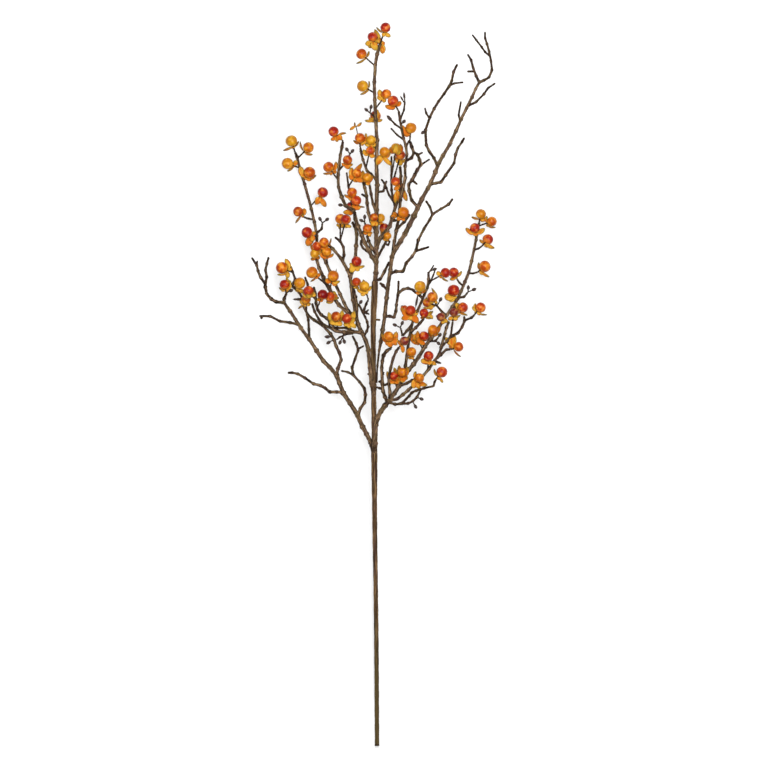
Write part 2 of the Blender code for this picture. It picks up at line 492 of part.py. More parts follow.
def right_berry_spray(look):
    s = Spray("right_berry_spray", seat_height(375, 443.2, 374.1, 2.3, 1))
    s.twig(2.3, 2.2, 3.4, (375, 443.2), (375.8, 425), (377.6, 418), (381, 411.5), (385, 405.5),
           (389, 401))
    s.twig(1.9, 0.8, -24, (389, 401), (394.5, 393), (399, 386), (404, 377.5), (409, 369.5),
           (413.5, 364), (419, 356.5), (425, 346.5), (431, 338.5), (438, 329), (443, 321),
           (447, 315), (452.5, 307), (457, 300), (461, 291.5), (465, 282), (468.7, 272.5),
           (471.5, 261), (474, 250), (476, 240), (479.3, 222))
    s.twig(1.4, 1.1, 12, (387.5, 402.7), (385.3, 397), (383.3, 391), (382.3, 384), (381.5, 368),
           (382.2, 361), (383.3, 355.5), (386.5, 351), (391.5, 347.8))
    s.twig(1.2, 1.0, 8, (389.5, 400.5), (389.8, 392), (388.8, 384), (388.8, 377), (390.6, 368),
           (393, 358.5), (396, 351.5), (399.3, 347))
    s.twig(1.3, 0.9, -6, (389.5, 400.5), (397, 399), (403, 394.3), (408, 390.3), (421, 378),
           (429, 369), (435, 360.5), (439.5, 354), (441.3, 347.5), (445, 334), (446.5, 327.5),
           (449, 321))
    s.twig(1.0, 0.7, -4, (437, 358), (441, 354.5), (446, 349.5), (451, 349.3))
    s.twig(0.8, 0.6, -3, (441.5, 347), (447, 341), (451, 336), (452.8, 321))
    s.twig(1.0, 0.7, -10, (388, 402), (395, 404.5), (401, 403.5), (408, 403.5), (413, 401),
           (417, 397), (421, 389))
    s.twig(0.9, 0.6, 4, (402, 403.5), (409, 396), (411.5, 392.5), (416, 390.5), (424, 388),
           (433.7, 386), (434.5, 381.5), (436.3, 379))
    s.twig(0.8, 1.0, 2, (403, 380), (408, 381), (413.5, 379.2))
    s.twig(1.3, 0.8, 8, (404.5, 377), (405.3, 366), (406.8, 356), (409.5, 337), (411, 328),
           (414, 318), (417.5, 311), (424, 295.5), (427.3, 287.5), (428.6, 279), (428.5, 271.5))
    s.twig(0.9, 0.8, 3, (412, 324.5), (407, 330.5), (402.5, 336))
    s.twig(0.6, 0.7, 1, (428.5, 273), (431, 270), (434, 264.8))
    s.twig(0.8, 0.6, 2, (427.6, 286.5), (430.5, 281.5), (433, 276), (435, 270.5))
    s.twig(1.0, 0.8, -2, (451, 336.5), (458, 333), (462.3, 327), (464.8, 320.7), (464, 316))
    s.twig(0.7, 0.6, 1, (464.8, 320.7), (471.8, 317.7), (474.5, 314.5))
    s.twig(0.8, 0.6, 2, (458.5, 297.5), (464, 297), (468, 292))
    s.twig(0.7, 0.5, 3, (429, 341.2), (435.5, 341), (438.5, 337))
    s.twig(0.6, 0.5, 1, (402.5, 336), (400.3, 327.5))
    s.twig(0.9, 0.6, 4, (446.5, 315.8), (441.5, 311.5), (437, 306))
    s.berry(487.8, 239.5, 5.4, 0, 474.2, 249.5, rests=True)
    for berry in (
            (442, 372, 5.6, 2, 436.3, 379), (428.5, 356, 5.1, 5, 427, 370),
            (458.6, 346.8, 4.9, 1, 451, 349.3), (419.5, 378, 4.8, 3, 413.5, 379.2),
            (394.5, 375.5, 5, 5, 397, 389), (402, 372.5, 4.8, 7, 403, 379),
            (411.3, 352, 5, 4, 414.5, 362.5), (388.5, 336.5, 5.4, 3, 391.5, 347.8),
            (404.3, 341, 4.6, 2, 399.3, 347), (418.5, 337.5, 5, 5, 423, 350),
            (424.5, 335.5, 4.8, -3, 423, 350), (433, 330, 5.3, 6, 433, 336),
            (409, 312, 5.8, 4, 412.5, 322), (424, 313, 4.5, 4, 416, 315),
            (432, 297, 5.1, 3, 436.8, 306), (427, 302.5, 4.6, -2, 437, 306),
            (453.6, 290.5, 5.9, 5, 455, 303), (463, 307.5, 5.2, 2, 452.7, 307),
            (480.7, 307.5, 5.2, 1, 474.5, 314.5), (454, 312.3, 4.6, 1, 452.8, 321),
            (441, 317, 4.4, 7, 443, 321), (445.5, 272.8, 5.1, 1, 431, 281),
            (453.7, 272.5, 5.1, 1, 463.7, 285), (484.8, 266.4, 5.8, 3, 469.3, 271),
            (481, 214, 5.1, 1, 479.3, 222), (492, 221.5, 4.9, 1, 478.5, 226),
            (474.8, 228, 5, 4, 476, 240)):
        s.berry(*berry)
    for bud in ((415.5, 406.5, 412.5, 401.3), (421.5, 399, 416.8, 397.2), (434.7, 269.3, 430, 271),
                (468.3, 287.5, 468, 292), (474, 289.5, 468, 292), (439.8, 335, 438.5, 337),
                (438.5, 343.3, 435.5, 341), (402.3, 323, 400.3, 327.5), (394.8, 325, 400.3, 327.5),
                (440.5, 299.5, 437, 306)):
        s.bud(*bud)
    return s.join(look)


def build():
    clear_scene()
    stem_look = material("stem_bark", STEM_BROWN, 0.8)
    main_stem(stem_look)
    twig_look = material("twig_bark", TWIG_BROWN, 0.8)
    for spray in (centre_spray, left_berry_spray, left_low_spray, right_tall_spray,
                  right_berry_spray):
        spray(twig_look)


build()
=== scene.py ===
import math

import bpy
import numpy as np
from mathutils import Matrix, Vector


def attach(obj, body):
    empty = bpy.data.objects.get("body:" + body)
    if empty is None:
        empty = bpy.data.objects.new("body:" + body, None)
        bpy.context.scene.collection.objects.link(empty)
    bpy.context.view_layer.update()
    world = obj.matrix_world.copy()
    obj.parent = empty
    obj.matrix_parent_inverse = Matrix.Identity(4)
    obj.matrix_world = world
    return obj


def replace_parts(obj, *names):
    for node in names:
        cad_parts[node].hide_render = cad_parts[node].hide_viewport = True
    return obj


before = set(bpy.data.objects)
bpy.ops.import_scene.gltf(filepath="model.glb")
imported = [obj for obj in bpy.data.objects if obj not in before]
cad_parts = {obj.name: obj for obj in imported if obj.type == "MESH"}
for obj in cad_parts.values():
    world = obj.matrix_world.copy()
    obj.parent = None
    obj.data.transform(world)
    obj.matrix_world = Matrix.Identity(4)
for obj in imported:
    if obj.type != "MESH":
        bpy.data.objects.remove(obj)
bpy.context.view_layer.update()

print("frame loaded:", len(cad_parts), "nodes")

# Places are given as on a drawing sheet, in millimetres: x to the right, y down to the cut end, and a height.
sheetMiddle = (373.61, 383.92)  # the sheet's point over the origin
upward = np.array((0.0, 0.0, 1.0))


def place(x, y, height):
    return np.array((x - sheetMiddle[0], sheetMiddle[1] - y, height))


def unit(rows):
    # a direction, or one for each row
    return rows / np.maximum(np.linalg.norm(rows, axis=-1, keepdims=True), 1e-9)


def part(start, end, share):
    return tuple(a + (b - a) * share for a, b in zip(start, end))


def travelled(line):
    # how far along a line each of its points lies
    return np.concatenate(([0.0], np.cumsum(np.linalg.norm(np.diff(line, axis=0), axis=1))))


def linked(name, data):
    made = bpy.data.objects.new(name, data)
    bpy.context.scene.collection.objects.link(made)
    return made


class Value:
    # a socket that takes part in arithmetic
    def __init__(self, finish, socket):
        self.finish, self.socket = finish, socket

    def reckon(self, operation, first, second):
        return self.finish.node("ShaderNodeMath", {"operation": operation}, {0: first, 1: second})

    def __add__(self, other):
        return self.reckon("ADD", self, other)

    def __sub__(self, other):
        return self.reckon("SUBTRACT", self, other)

    def __rsub__(self, other):
        return self.reckon("SUBTRACT", other, self)

    def __mul__(self, other):
        return self.reckon("MULTIPLY", self, other)

    __radd__, __rmul__ = __add__, __mul__


class Finish:
    # one material, built up node by node
    def __init__(self, name):
        self.material = bpy.data.materials.new(name)
        self.material.use_nodes = True
        self.tree = self.material.node_tree
        self.shader = self.tree.nodes["Principled BSDF"]

    def node(self, kind, settings=None, sockets=None, out=0):
        made = self.tree.nodes.new(kind)
        for key, value in (settings or {}).items():
            setattr(made, key, value)
        for key, value in (sockets or {}).items():
            self.feed(made.inputs[key], value)
        return Value(self, made.outputs[out])

    def feed(self, socket, value):
        if isinstance(value, Value):
            self.tree.links.new(value.socket, socket)
        elif isinstance(value, tuple) and len(value) == 3 and len(socket.default_value) == 4:
            socket.default_value = (*value, 1.0)
        else:
            socket.default_value = value

    def set(self, **values):
        for key, value in values.items():
            self.feed(self.shader.inputs[key.replace("_", " ")], value)

    def attribute(self, name, out="Vector"):
        return self.node("ShaderNodeAttribute", {"attribute_name": name}, out=out)

    def tint(self, channel):
        # one of the numbers that each point of a mesh carries
        return self.node("ShaderNodeSeparateColor", None, {"Color": self.attribute("tint", "Color")}, channel)

    def along(self, vector, axis):
        return self.node("ShaderNodeSeparateXYZ", None, {"Vector": vector}, axis)

    def vector(self, operation, first, second):
        return self.node("ShaderNodeVectorMath", {"operation": operation}, {0: first, 1: second})

    def noise(self, vector, scale, detail, roughness):
        return self.node("ShaderNodeTexNoise", None,
                         {"Vector": vector, "Scale": scale, "Detail": detail, "Roughness": roughness})

    def limits(self, value, low, high, toLow=0.0, toHigh=1.0):
        return self.node("ShaderNodeMapRange", {"interpolation_type": "SMOOTHSTEP"},
                         {"Value": value, "From Min": low, "From Max": high,
                          "To Min": toLow, "To Max": toHigh})

    def mix(self, factor, first, second, blend="MIX"):
        return self.node("ShaderNodeMix", {"data_type": "RGBA", "blend_type": blend},
                         {0: factor, 6: first, 7: second}, 2)

    def over(self, colour, tone, value, low, high, most=1.0):
        # a tone laid over a colour, from none where the value is low to the most where it is high
        return self.mix(self.limits(value, low, high, 0.0, most), colour, tone)

    def bump(self, height, distance, strength, under=None):
        under = {} if under is None else {"Normal": under}
        return self.node("ShaderNodeBump", None,
                         {"Height": height, "Distance": distance, "Strength": strength, **under})


class Bulk:
    # many closed forms of one finish, gathered into one mesh
    def __init__(self):
        self.points, self.grain, self.tint, self.faces, self.count = [], [], [], [], 0

    def tube(self, rings, grain, tint):
        # rings of equal size, closed at both ends; grain is a point of the pattern for each vertex
        n, m = rings.shape[:2]
        layers = (self.points, rings), (self.grain, grain), (self.tint, np.broadcast_to(tint, (n, m, 4)))
        for kept, values in layers:
            kept.append(values.reshape(n * m, -1))
        turn = np.arange(m)
        a, b = (self.count + np.arange(n - 1)[:, None] * m + k for k in (turn, (turn + 1) % m))
        self.faces += np.stack((a, b, b + m, a + m), 2).reshape(-1, 4).tolist()
        for ring, flip in ((0, True), (n - 1, False)):
            for kept, values in layers:
                kept.append(values[ring].mean(0)[None])
            centre, edge = self.count + n * m + (not flip), self.count + ring * m
            for k in range(m):
                pair = edge + k, edge + (k + 1) % m
                self.faces.append((*(pair[::-1] if flip else pair), centre))
        self.count += n * m + 2

    def make(self, name, finish, slot):
        mesh = bpy.data.meshes.new(name)
        mesh.from_pydata((np.concatenate(self.points) * 0.001).tolist(), [], self.faces)
        for label, kind, size, values in (("grain", "FLOAT_VECTOR", "vector", self.grain),
                                          ("tint", "FLOAT_COLOR", "color", self.tint)):
            layer = mesh.attributes.new(label, kind, "POINT")
            layer.data.foreach_set(size, np.concatenate(values).astype(np.float32).ravel())
        mesh.shade_smooth()
        mesh.materials.append(finish)
        made = linked(name, mesh)
        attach(made, "root")
        return made


# twig and stem shapes
bark = {
    "step": 0.8,                  # mm between rings
    "softening": 2,               # passes that round the corners of a route
    "join": 1.5,                  # mm within which a twig starts on the twig that bears it
    "knob": 0.32,                 # swelling at each bend, as a share of the radius
    "knobLength": 1.3,
    "flare": 0.35,                # widening where a twig leaves an older one
    "flareLength": 5.0,
    "ridge": 0.13,                # depth of the lengthwise ridges, as a share of the radius
    "lay": 0.02,                  # how fast the ridges wind round
    "wear": 0.035,                # slow swelling along a twig
    "spurShare": 0.42,            # how many bends carry a short spur
    "spurReach": (0.6, 1.5),      # mm, the least and the most past the bark
    "spurWay": (0.8, 0.6, 0.5),   # how far spurs lean sideways, ahead, and up or down
    "spurThick": 0.75,
    "spurFoot": 0.55,             # greatest radius of a spur, as a share of the twig's
    "spurTaper": (1.3, 1.0, 0.9, 0.5),
    "stout": 0.42,                # mm added to the radius of thin twigs
    "stoutBelow": 2.3,            # mm, the radius from which nothing is added
    "stoutOver": 1.5,             # mm, how much thinner a twig is when it gets all of it
    "blunt": 0.8,                 # mm, the least length over which an end is rounded
    "youngest": 0.55,             # mm, the radius of twigs with the darkest bark
    "ageing": 1.5,                # mm more than that for the oldest bark
    "tipLength": 9.0,             # mm over which the bark darkens toward an end
    "footShadeLength": 3.0,              # mm over which shade is painted where a spray leaves the stem
    # how deep that painted shade is at its darkest
    "footShadeDepth": 0.9,
    "stalkRise": 0.06,            # how far a stalk's middle rises, as a share of its length
    "stalkKnot": 0.25,            # swelling halfway along a stalk, and at its foot
    "stalkFoot": 0.3,
}
chance = np.random.default_rng(7)


def resample(line, step):
    # evenly spaced places along a route, with their travelled length and that of its bends
    line = np.array(line, float)
    run = travelled(line)
    s = np.linspace(0, run[-1], max(3, int(run[-1] / step) + 1))
    even = np.stack([np.interp(s, run, line[:, i]) for i in range(3)], 1)
    for _ in range(bark["softening"]):
        even[1:-1] = even[1:-1] * 0.5 + (even[:-2] + even[2:]) * 0.25
    return even, s, run


def frames(line):
    # two sideways axes at each place, turning as little as they can
    ahead = unit(np.gradient(line, axis=0))
    side = np.cross(ahead[0], upward)
    if np.linalg.norm(side) < 0.1:
        side = np.array((1.0, 0.0, 0.0))
    sides = []
    for a in ahead:
        side = unit(side - a * side.dot(a))
        sides.append(side)
    return np.array(sides), np.cross(ahead, sides)


def ringsAlong(line, radii, count, ridge, phase, lay=bark["lay"]):
    # round rings on a line, with ridges that run lengthwise and wander a little
    side, up = (axis[:, None] for axis in frames(line))
    s, turn = travelled(line)[:, None], np.arange(count)[None] * math.tau / count
    angle = turn + lay * (17.0 * np.sin(s * 0.11 + phase) + s)
    shape = (1 + ridge * (0.9 * np.sin(3 * angle + phase) + 0.7 * np.sin(5 * angle + 2.3 * phase)
                          + 0.3 * np.sin(s * 1.3 + 2 * turn + phase))
             + bark["wear"] * np.sin(s * 0.37 + phase * 3))
    radii, across, high = radii[:, None], np.cos(turn), np.sin(turn)
    rings = line[:, None] + (radii * shape)[..., None] * (side * across[..., None] + up * high[..., None])
    return rings, np.stack((across * radii, high * radii, s + phase * 37.0 + 0 * turn), 2)


def rounded(radii, s, blunt):
    # the radius drawn in over the last stretch so that the end is round
    left = np.clip((s[-1] - s) / blunt, 0, 1)
    return radii * np.sqrt(np.clip(1 - (1 - left) ** 2, 0.02, 1))


class Spray:
    # the twigs of one side branch, with what they carry
    def __init__(self, plan):
        self.plan = {"lead": (), "footShadeAt": 0.0, "footShadeLength": bark["footShadeLength"], **plan}
        self.twigs, self.skins, self.husks, self.buds = Bulk(), Bulk(), Bulk(), Bulk()
        self.lines, self.phase = [], 0.7

    def nearest(self, x, y):
        # the point of the laid twigs that lies nearest on the sheet
        best, found = math.inf, None
        for line in self.lines:
            for a, b in zip(line, line[1:]):
                dx, dy = b[0] - a[0], b[1] - a[1]
                t = ((x - a[0]) * dx + (y - a[1]) * dy) / (dx * dx + dy * dy or 1.0)
                point = part(a, b, min(1.0, max(0.0, t)))
                off = math.dist(point[:2], (x, y))
                if off < best:
                    best, found = off, point
        return found

    def twig(self, thick, thin, rise, *route):
        # the first point lies on the sheet, each further one is a step on; a third number is a local radius
        flat = np.cumsum([point[:2] for point in route], 0).tolist()
        local = [point[2:] for point in route]
        branching = bool(self.lines)
        root = self.nearest(*flat[0]) if branching else (*flat[0], self.plan["foot"])
        if math.dist(root[:2], flat[0]) < bark["join"]:
            flat, local = flat[1:], local[1:]
        flat, local = [root[:2], *flat], [(thick,), *local[:-1], local[-1] or (thin,)]
        run = travelled(flat)
        radii = np.interp(run, *zip(*[(s, *own) for s, own in zip(run, local) if own])).tolist()
        line = [(*point, root[2] + rise * s / run[-1]) for point, s in zip(flat, run)]
        self.lines.append(line)
        self.phase += 1.31
        if not branching:
            lead = self.plan["lead"]
            line = [(x, y, self.plan["foot"] + drop) for x, y, drop, _ in lead] + line
            radii = [radius for *_, radius in lead] + radii
        self.woody(line, radii, branching)
        self.spurs(line, radii)

    def woody(self, line, radii, branching):
        even, s, bends = resample([place(*p) for p in line], bark["step"])
        radius = np.interp(s, bends, radii)
        radius = radius + bark["stout"] * np.clip((bark["stoutBelow"] - radius) / bark["stoutOver"], 0, 1)
        if branching:
            radius = radius * (1 + bark["flare"] * np.clip(1 - s / bark["flareLength"], 0, 1) ** 2)
        for k, at in enumerate(bends[1:-1]):  # swellings of five sizes in turn
            size = bark["knob"] * (0.6 + 0.8 * ((k * 7 + len(self.lines) * 3) % 5) / 4)
            radius = radius * (1 + size * np.exp(-((s - at) / bark["knobLength"]) ** 2))
        widest = max(radii)
        faces = 14 if widest >= 1.5 else 10 if widest > 0.8 else 8
        radius = rounded(radius, s, max(bark["blunt"], radii[-1]))
        rings, grain = ringsAlong(even, radius, faces, bark["ridge"], self.phase)
        age = np.clip((widest - bark["youngest"]) / bark["ageing"], 0, 1)
        age = age * np.clip((s[-1] - s) / bark["tipLength"], 0.1, 1)
        # painted shade in the crevice where a spray leaves the stem, darkest at its set place along the twig
        dark = bark["footShadeDepth"] * np.exp(-((s - self.plan["footShadeAt"]) / self.plan["footShadeLength"]) ** 2)
        none = np.zeros(len(s))
        tint = np.stack((age, none, none if branching else dark, none + 1), 1)  # age, unused, painted shade at the foot, unused
        self.twigs.tube(rings, grain, tint[:, None])

    def spurs(self, line, radii):
        # short stubs where leaves have dropped off
        for k in range(1, len(line) - 1):
            if chance.random() > bark["spurShare"]:
                continue
            here = place(*line[k])
            ahead = unit(place(*line[k + 1]) - place(*line[k - 1]))
            side = unit(np.cross(ahead, upward)) * (1 if chance.random() < 0.5 else -1)
            aside, onward, tilt = bark["spurWay"]
            way = unit(side * aside + ahead * onward + upward * chance.uniform(-tilt, tilt))
            reach = radii[k] + chance.uniform(*bark["spurReach"])
            path = np.array([here + way * reach * t for t in (0, 0.35, 0.7, 1.0)])
            thick = min(radii[k] * bark["spurFoot"], bark["spurThick"]) * np.array(bark["spurTaper"])
            self.twigs.tube(*ringsAlong(path, thick, 7, 0.05, self.phase + k), (0.2, 0.0, 0.0, 1.0))

    def stalk(self, root, end, radius):
        # a thin stalk with a slight bend and a swollen foot
        a, b = place(*root), place(*end)
        middle = (a + b) / 2 + upward * bark["stalkRise"] * np.linalg.norm(b - a)
        even, s, _ = resample([a, middle, b], 0.9)
        self.phase += 0.77
        swell = (1 + bark["stalkKnot"] * np.exp(-((s - s[-1] * 0.45) / 0.9) ** 2)
                 + bark["stalkFoot"] * np.exp(-(s / 1.2) ** 2))
        self.twigs.tube(*ringsAlong(even, radius * swell, 8, 0.05, self.phase), (0.05, 0.0, 0.0, 1.0))


# berries, their husks and the buds
berryLook = {
    "around": 28,
    "along": 18,
    "standoff": 3.0,       # least distance from a twig's line to a berry's skin
    "clearance": 0.8,      # least height of a berry's skin over the surface
    "touch": 0.02,         # the same for the berries that the branch rests on
    "stalk": 0.75,         # mm, radius
    "stalkEnd": 0.8,       # where the stalk stops, in berry radii from the berry's centre
    "stretch": 0.98,
    "unevenness": 0.018,
    "dimple": 0.10,
    "tints": {
        "red": (0.325, 0.0210, 0.0045),
        "wine": (0.195, 0.0062, 0.0045),
        "brown": (0.167, 0.0341, 0.0186),
        "coral": (0.397, 0.0527, 0.0062),
        "flame": (0.422, 0.0744, 0.0056),
        "orange": (0.446, 0.118, 0.0037),
        "rust": (0.360, 0.0806, 0.0037),
        "amber": (0.459, 0.160, 0.0043),
        "honey": (0.446, 0.182, 0.0056),
        "yellow": (0.432, 0.216, 0.0074),
    },
}
huskLook = {
    "rows": 15,
    "across": 7,
    "thickness": 0.55,     # mm
    "fullness": 1.16,      # widens every petal
    "gap": 0.3,            # between a berry's skin and the heart of its husk
    "cup": 1.10,           # least distance of a petal's middle from a berry's centre, in berry radii
    "clear": 1.035,        # the same for any point of the petal
    "sink": -0.9,          # height of the tips against the berry's centre
    "twist": 0.7,          # how far the foot of a petal turns round the berry instead of facing up
    "bow": 0.45,           # how far a petal leads outward before it turns up to its tip
    "foot": 0.30,          # width at the heart, as a share of the widest
    "full": 0.38,          # where along a petal it has its full width
    "shoulder": 0.50,      # where it starts to narrow
    "broad": 3.2,          # mm, the half width of the broadest petals
    "curl": 0.14,
    "ripple": 0.16,
    "low": 0.25,           # mm, least height over the surface
    "stalk": 0.5,          # radius of the stalk of a loose husk
    "spare": {"petals": 3, "reach": 1.25, "back": 0.9, "wide": 0.36, "rise": -0.5},
    # a husk that shows fewer petals gets more behind its berry, measured in berry radii
}
budLook = {
    "around": 14,
    "along": 12,
    "radius": 1.7,
    "stretch": 1.35,       # length as a share of the width
    "point": -0.14,
    "unevenness": 0.05,
    "stalk": 0.55,
    "overlap": 0.9,        # mm by which the stalk stops short of the bud's middle
}


def ball(look, centre, axis, radius, stretch, dimple, phase):
    # rings of a slightly uneven ball from its stalk end to its tip
    side = unit(np.cross(axis, (0.3, 0.2, 1.0)))
    up = np.cross(axis, side)
    t, a = np.meshgrid(np.linspace(0.06, math.pi - 0.05, look["along"]),
                       np.arange(look["around"]) * math.tau / look["around"], indexing="ij")
    swell = np.sin(2 * a + phase) + 0.6 * np.sin(3 * a - phase + 2 * t)
    size = 1 + look["unevenness"] * (swell * np.sin(t) + 0.7 * np.sin(2.2 * t + phase))
    size = size - dimple * np.exp(-((math.pi - t) / 0.16) ** 2)
    out = np.sin(t) * size
    grain = np.stack((out * np.cos(a), out * np.sin(a), -np.cos(t) * size), 2)
    grain[..., 2] *= stretch
    return centre + radius * (grain @ np.array((side, up, axis))), grain


# A berry's row: its place, radius and lift over the twig, the way to its stalk's foot, its tint, and for each
# petal the way to the tip, the width and perhaps the rise.
def addBerry(spray, x, y, radius, lift, footX, footY, tint, *petals, rests=False):
    root = spray.nearest(x + footX, y + footY)
    off, need = math.dist((x, y), root[:2]), radius + berryLook["standoff"]
    if off < need:
        lift = math.copysign(max(abs(lift), math.sqrt(need * need - off * off)), lift)
    spot = (x, y, radius if rests else max(root[2] + lift, radius + berryLook["clearance"]))
    spray.stalk(root, part(root, spot, 1 - radius * berryLook["stalkEnd"] / math.dist(root, spot)),
                berryLook["stalk"])
    centre = place(*spot)
    axis = unit(centre - place(*root))
    spray.phase += 0.93
    rings, grain = ball(berryLook, centre, axis, radius, berryLook["stretch"], berryLook["dimple"],
                        spray.phase)
    rings[..., 2] += max(0.0, berryLook["touch"] - rings[..., 2].min())
    spray.skins.tube(rings, grain, (*berryLook["tints"][tint], own(spray.phase)))
    plan, spare = huskLook["spare"], []
    first = math.radians((x * 37 + y * 91) % 360)
    for k in range(plan["petals"] - len(petals)):
        way = unit(np.cross(axis, upward)) * math.cos(first + k * 2.1) - axis * plan["back"]
        way = way * radius * plan["reach"]
        spare.append((way[0], -way[1], plan["wide"] * radius, plan["rise"] * radius))
    for k, petal in enumerate((*petals, *spare)):
        addPetal(spray, centre - axis * (radius + huskLook["gap"]), axis, centre, radius, petal,
                 spray.phase + 1.7 * k)


def addPetal(spray, heart, axis, centre, radius, petal, phase):
    # a pointed petal from the heart of the husk; it bends round the berry wherever it would touch it
    look = huskLook
    wide = petal[2] * look["fullness"]
    rise = petal[3] if len(petal) > 3 else look["sink"] * (1 + math.sin(phase * 2.3))
    tip = centre + np.array((petal[0], -petal[1], rise))
    t = np.linspace(0.0, 1.0, look["rows"])[:, None]
    out = unit(tip - centre - axis * (tip - centre).dot(axis))
    bend = heart + out * look["bow"] * np.linalg.norm(tip - heart) - axis * 0.1 * radius
    path = (1 - t) ** 2 * heart + 2 * t * (1 - t) * bend + t ** 2 * tip
    path = pushedOut(path, centre, radius * look["cup"])
    ahead = unit(np.gradient(path, axis=0))
    flat = unit(np.cross(ahead, upward))
    hoop = np.cross(out, axis)
    if (flat @ hoop).sum() < 0:
        hoop = -hoop
    twist = (1 - t) * look["twist"]
    lateral = hoop * twist + flat * (1 - twist)
    lateral = unit(lateral - ahead * (lateral * ahead).sum(1)[:, None])
    normal = np.cross(lateral, ahead)
    shoulder = np.clip((t - look["shoulder"]) / (1 - look["shoulder"]), 0, 1)
    width = wide * (look["foot"] + (1 - look["foot"]) * np.clip(t / look["full"], 0, 1) ** 0.7) * np.maximum(
        np.sqrt(np.clip(1 - shoulder ** 1.9, 0, 1)), 0.05)
    facing = np.sign((normal * (path - centre)).sum(1))[:, None, None]
    u = np.linspace(-1, 1, look["across"])
    sheets = []
    for skin, line in ((1, u[None]), (-1, u[None, ::-1])):
        edge = look["thickness"] * (1 - 0.7 * np.abs(line) ** 3)
        ripple = look["ripple"] * np.sin(5 * t + 3.1 * line + phase) * t
        sag = -look["curl"] * wide * line ** 2 + ripple + skin * edge / 2
        points = (path[:, None] + lateral[:, None] * (width * line)[..., None]
                  + normal[:, None] * sag[..., None])
        least = radius * look["clear"] + np.where(skin * facing > 0, edge[..., None], 0.0)
        sheets.append(pushedOut(points, centre, least) if radius else points)
    rings = np.concatenate(sheets, 1)
    size = rings.shape[:2]
    grain = np.stack([np.broadcast_to(v, size) for v in (np.concatenate((u, u[::-1])), t, phase % 7.0)], 2)
    rings[..., 2] = np.maximum(rings[..., 2], look["low"] - 0.1 * (np.arange(size[1]) >= len(u)))
    spray.husks.tube(rings, grain, (own(phase), min(1.0, wide / look["broad"]), 0.0, 1.0))


def own(phase):
    # a number from 0 to 1 that differs from form to form
    return (phase * 0.61) % 1.0


def pushedOut(points, centre, least):
    # points moved away from a centre until they lie at least so far off
    away = points - centre
    return centre + away * np.maximum(1.0, least / np.maximum(np.linalg.norm(away, axis=-1)[..., None], 1e-6))


# An empty husk's row: its place, the way to its stalk's foot, its lift, and its petals.
def addHusk(spray, x, y, footX, footY, lift, *petals):
    root = spray.nearest(x + footX, y + footY)
    spot = (x, y, root[2] + lift)
    spray.stalk(root, spot, huskLook["stalk"])
    heart = place(*spot)
    spray.phase += 0.93
    for k, petal in enumerate(petals):
        addPetal(spray, heart, unit(heart - place(*root)), heart, 0.0, petal, spray.phase + 1.7 * k)


# A bud's row: its place, the way to its stalk's foot, and perhaps a lift, radius and stretch of its own.
def addBud(spray, x, y, footX, footY, lift=1.0, radius=budLook["radius"], stretch=budLook["stretch"]):
    root = spray.nearest(x + footX, y + footY)
    spot = (x, y, root[2] + lift)
    spray.stalk(root, part(root, spot, 1 - budLook["overlap"] / math.dist(root, spot)), budLook["stalk"])
    spray.phase += 0.51
    centre = place(*spot)
    rings, grain = ball(budLook, centre, unit(centre - place(*root)), radius, stretch,
                        budLook["point"] * stretch, spray.phase)
    spray.buds.tube(rings, grain, (0.0, 0.0, 0.0, 1.0))


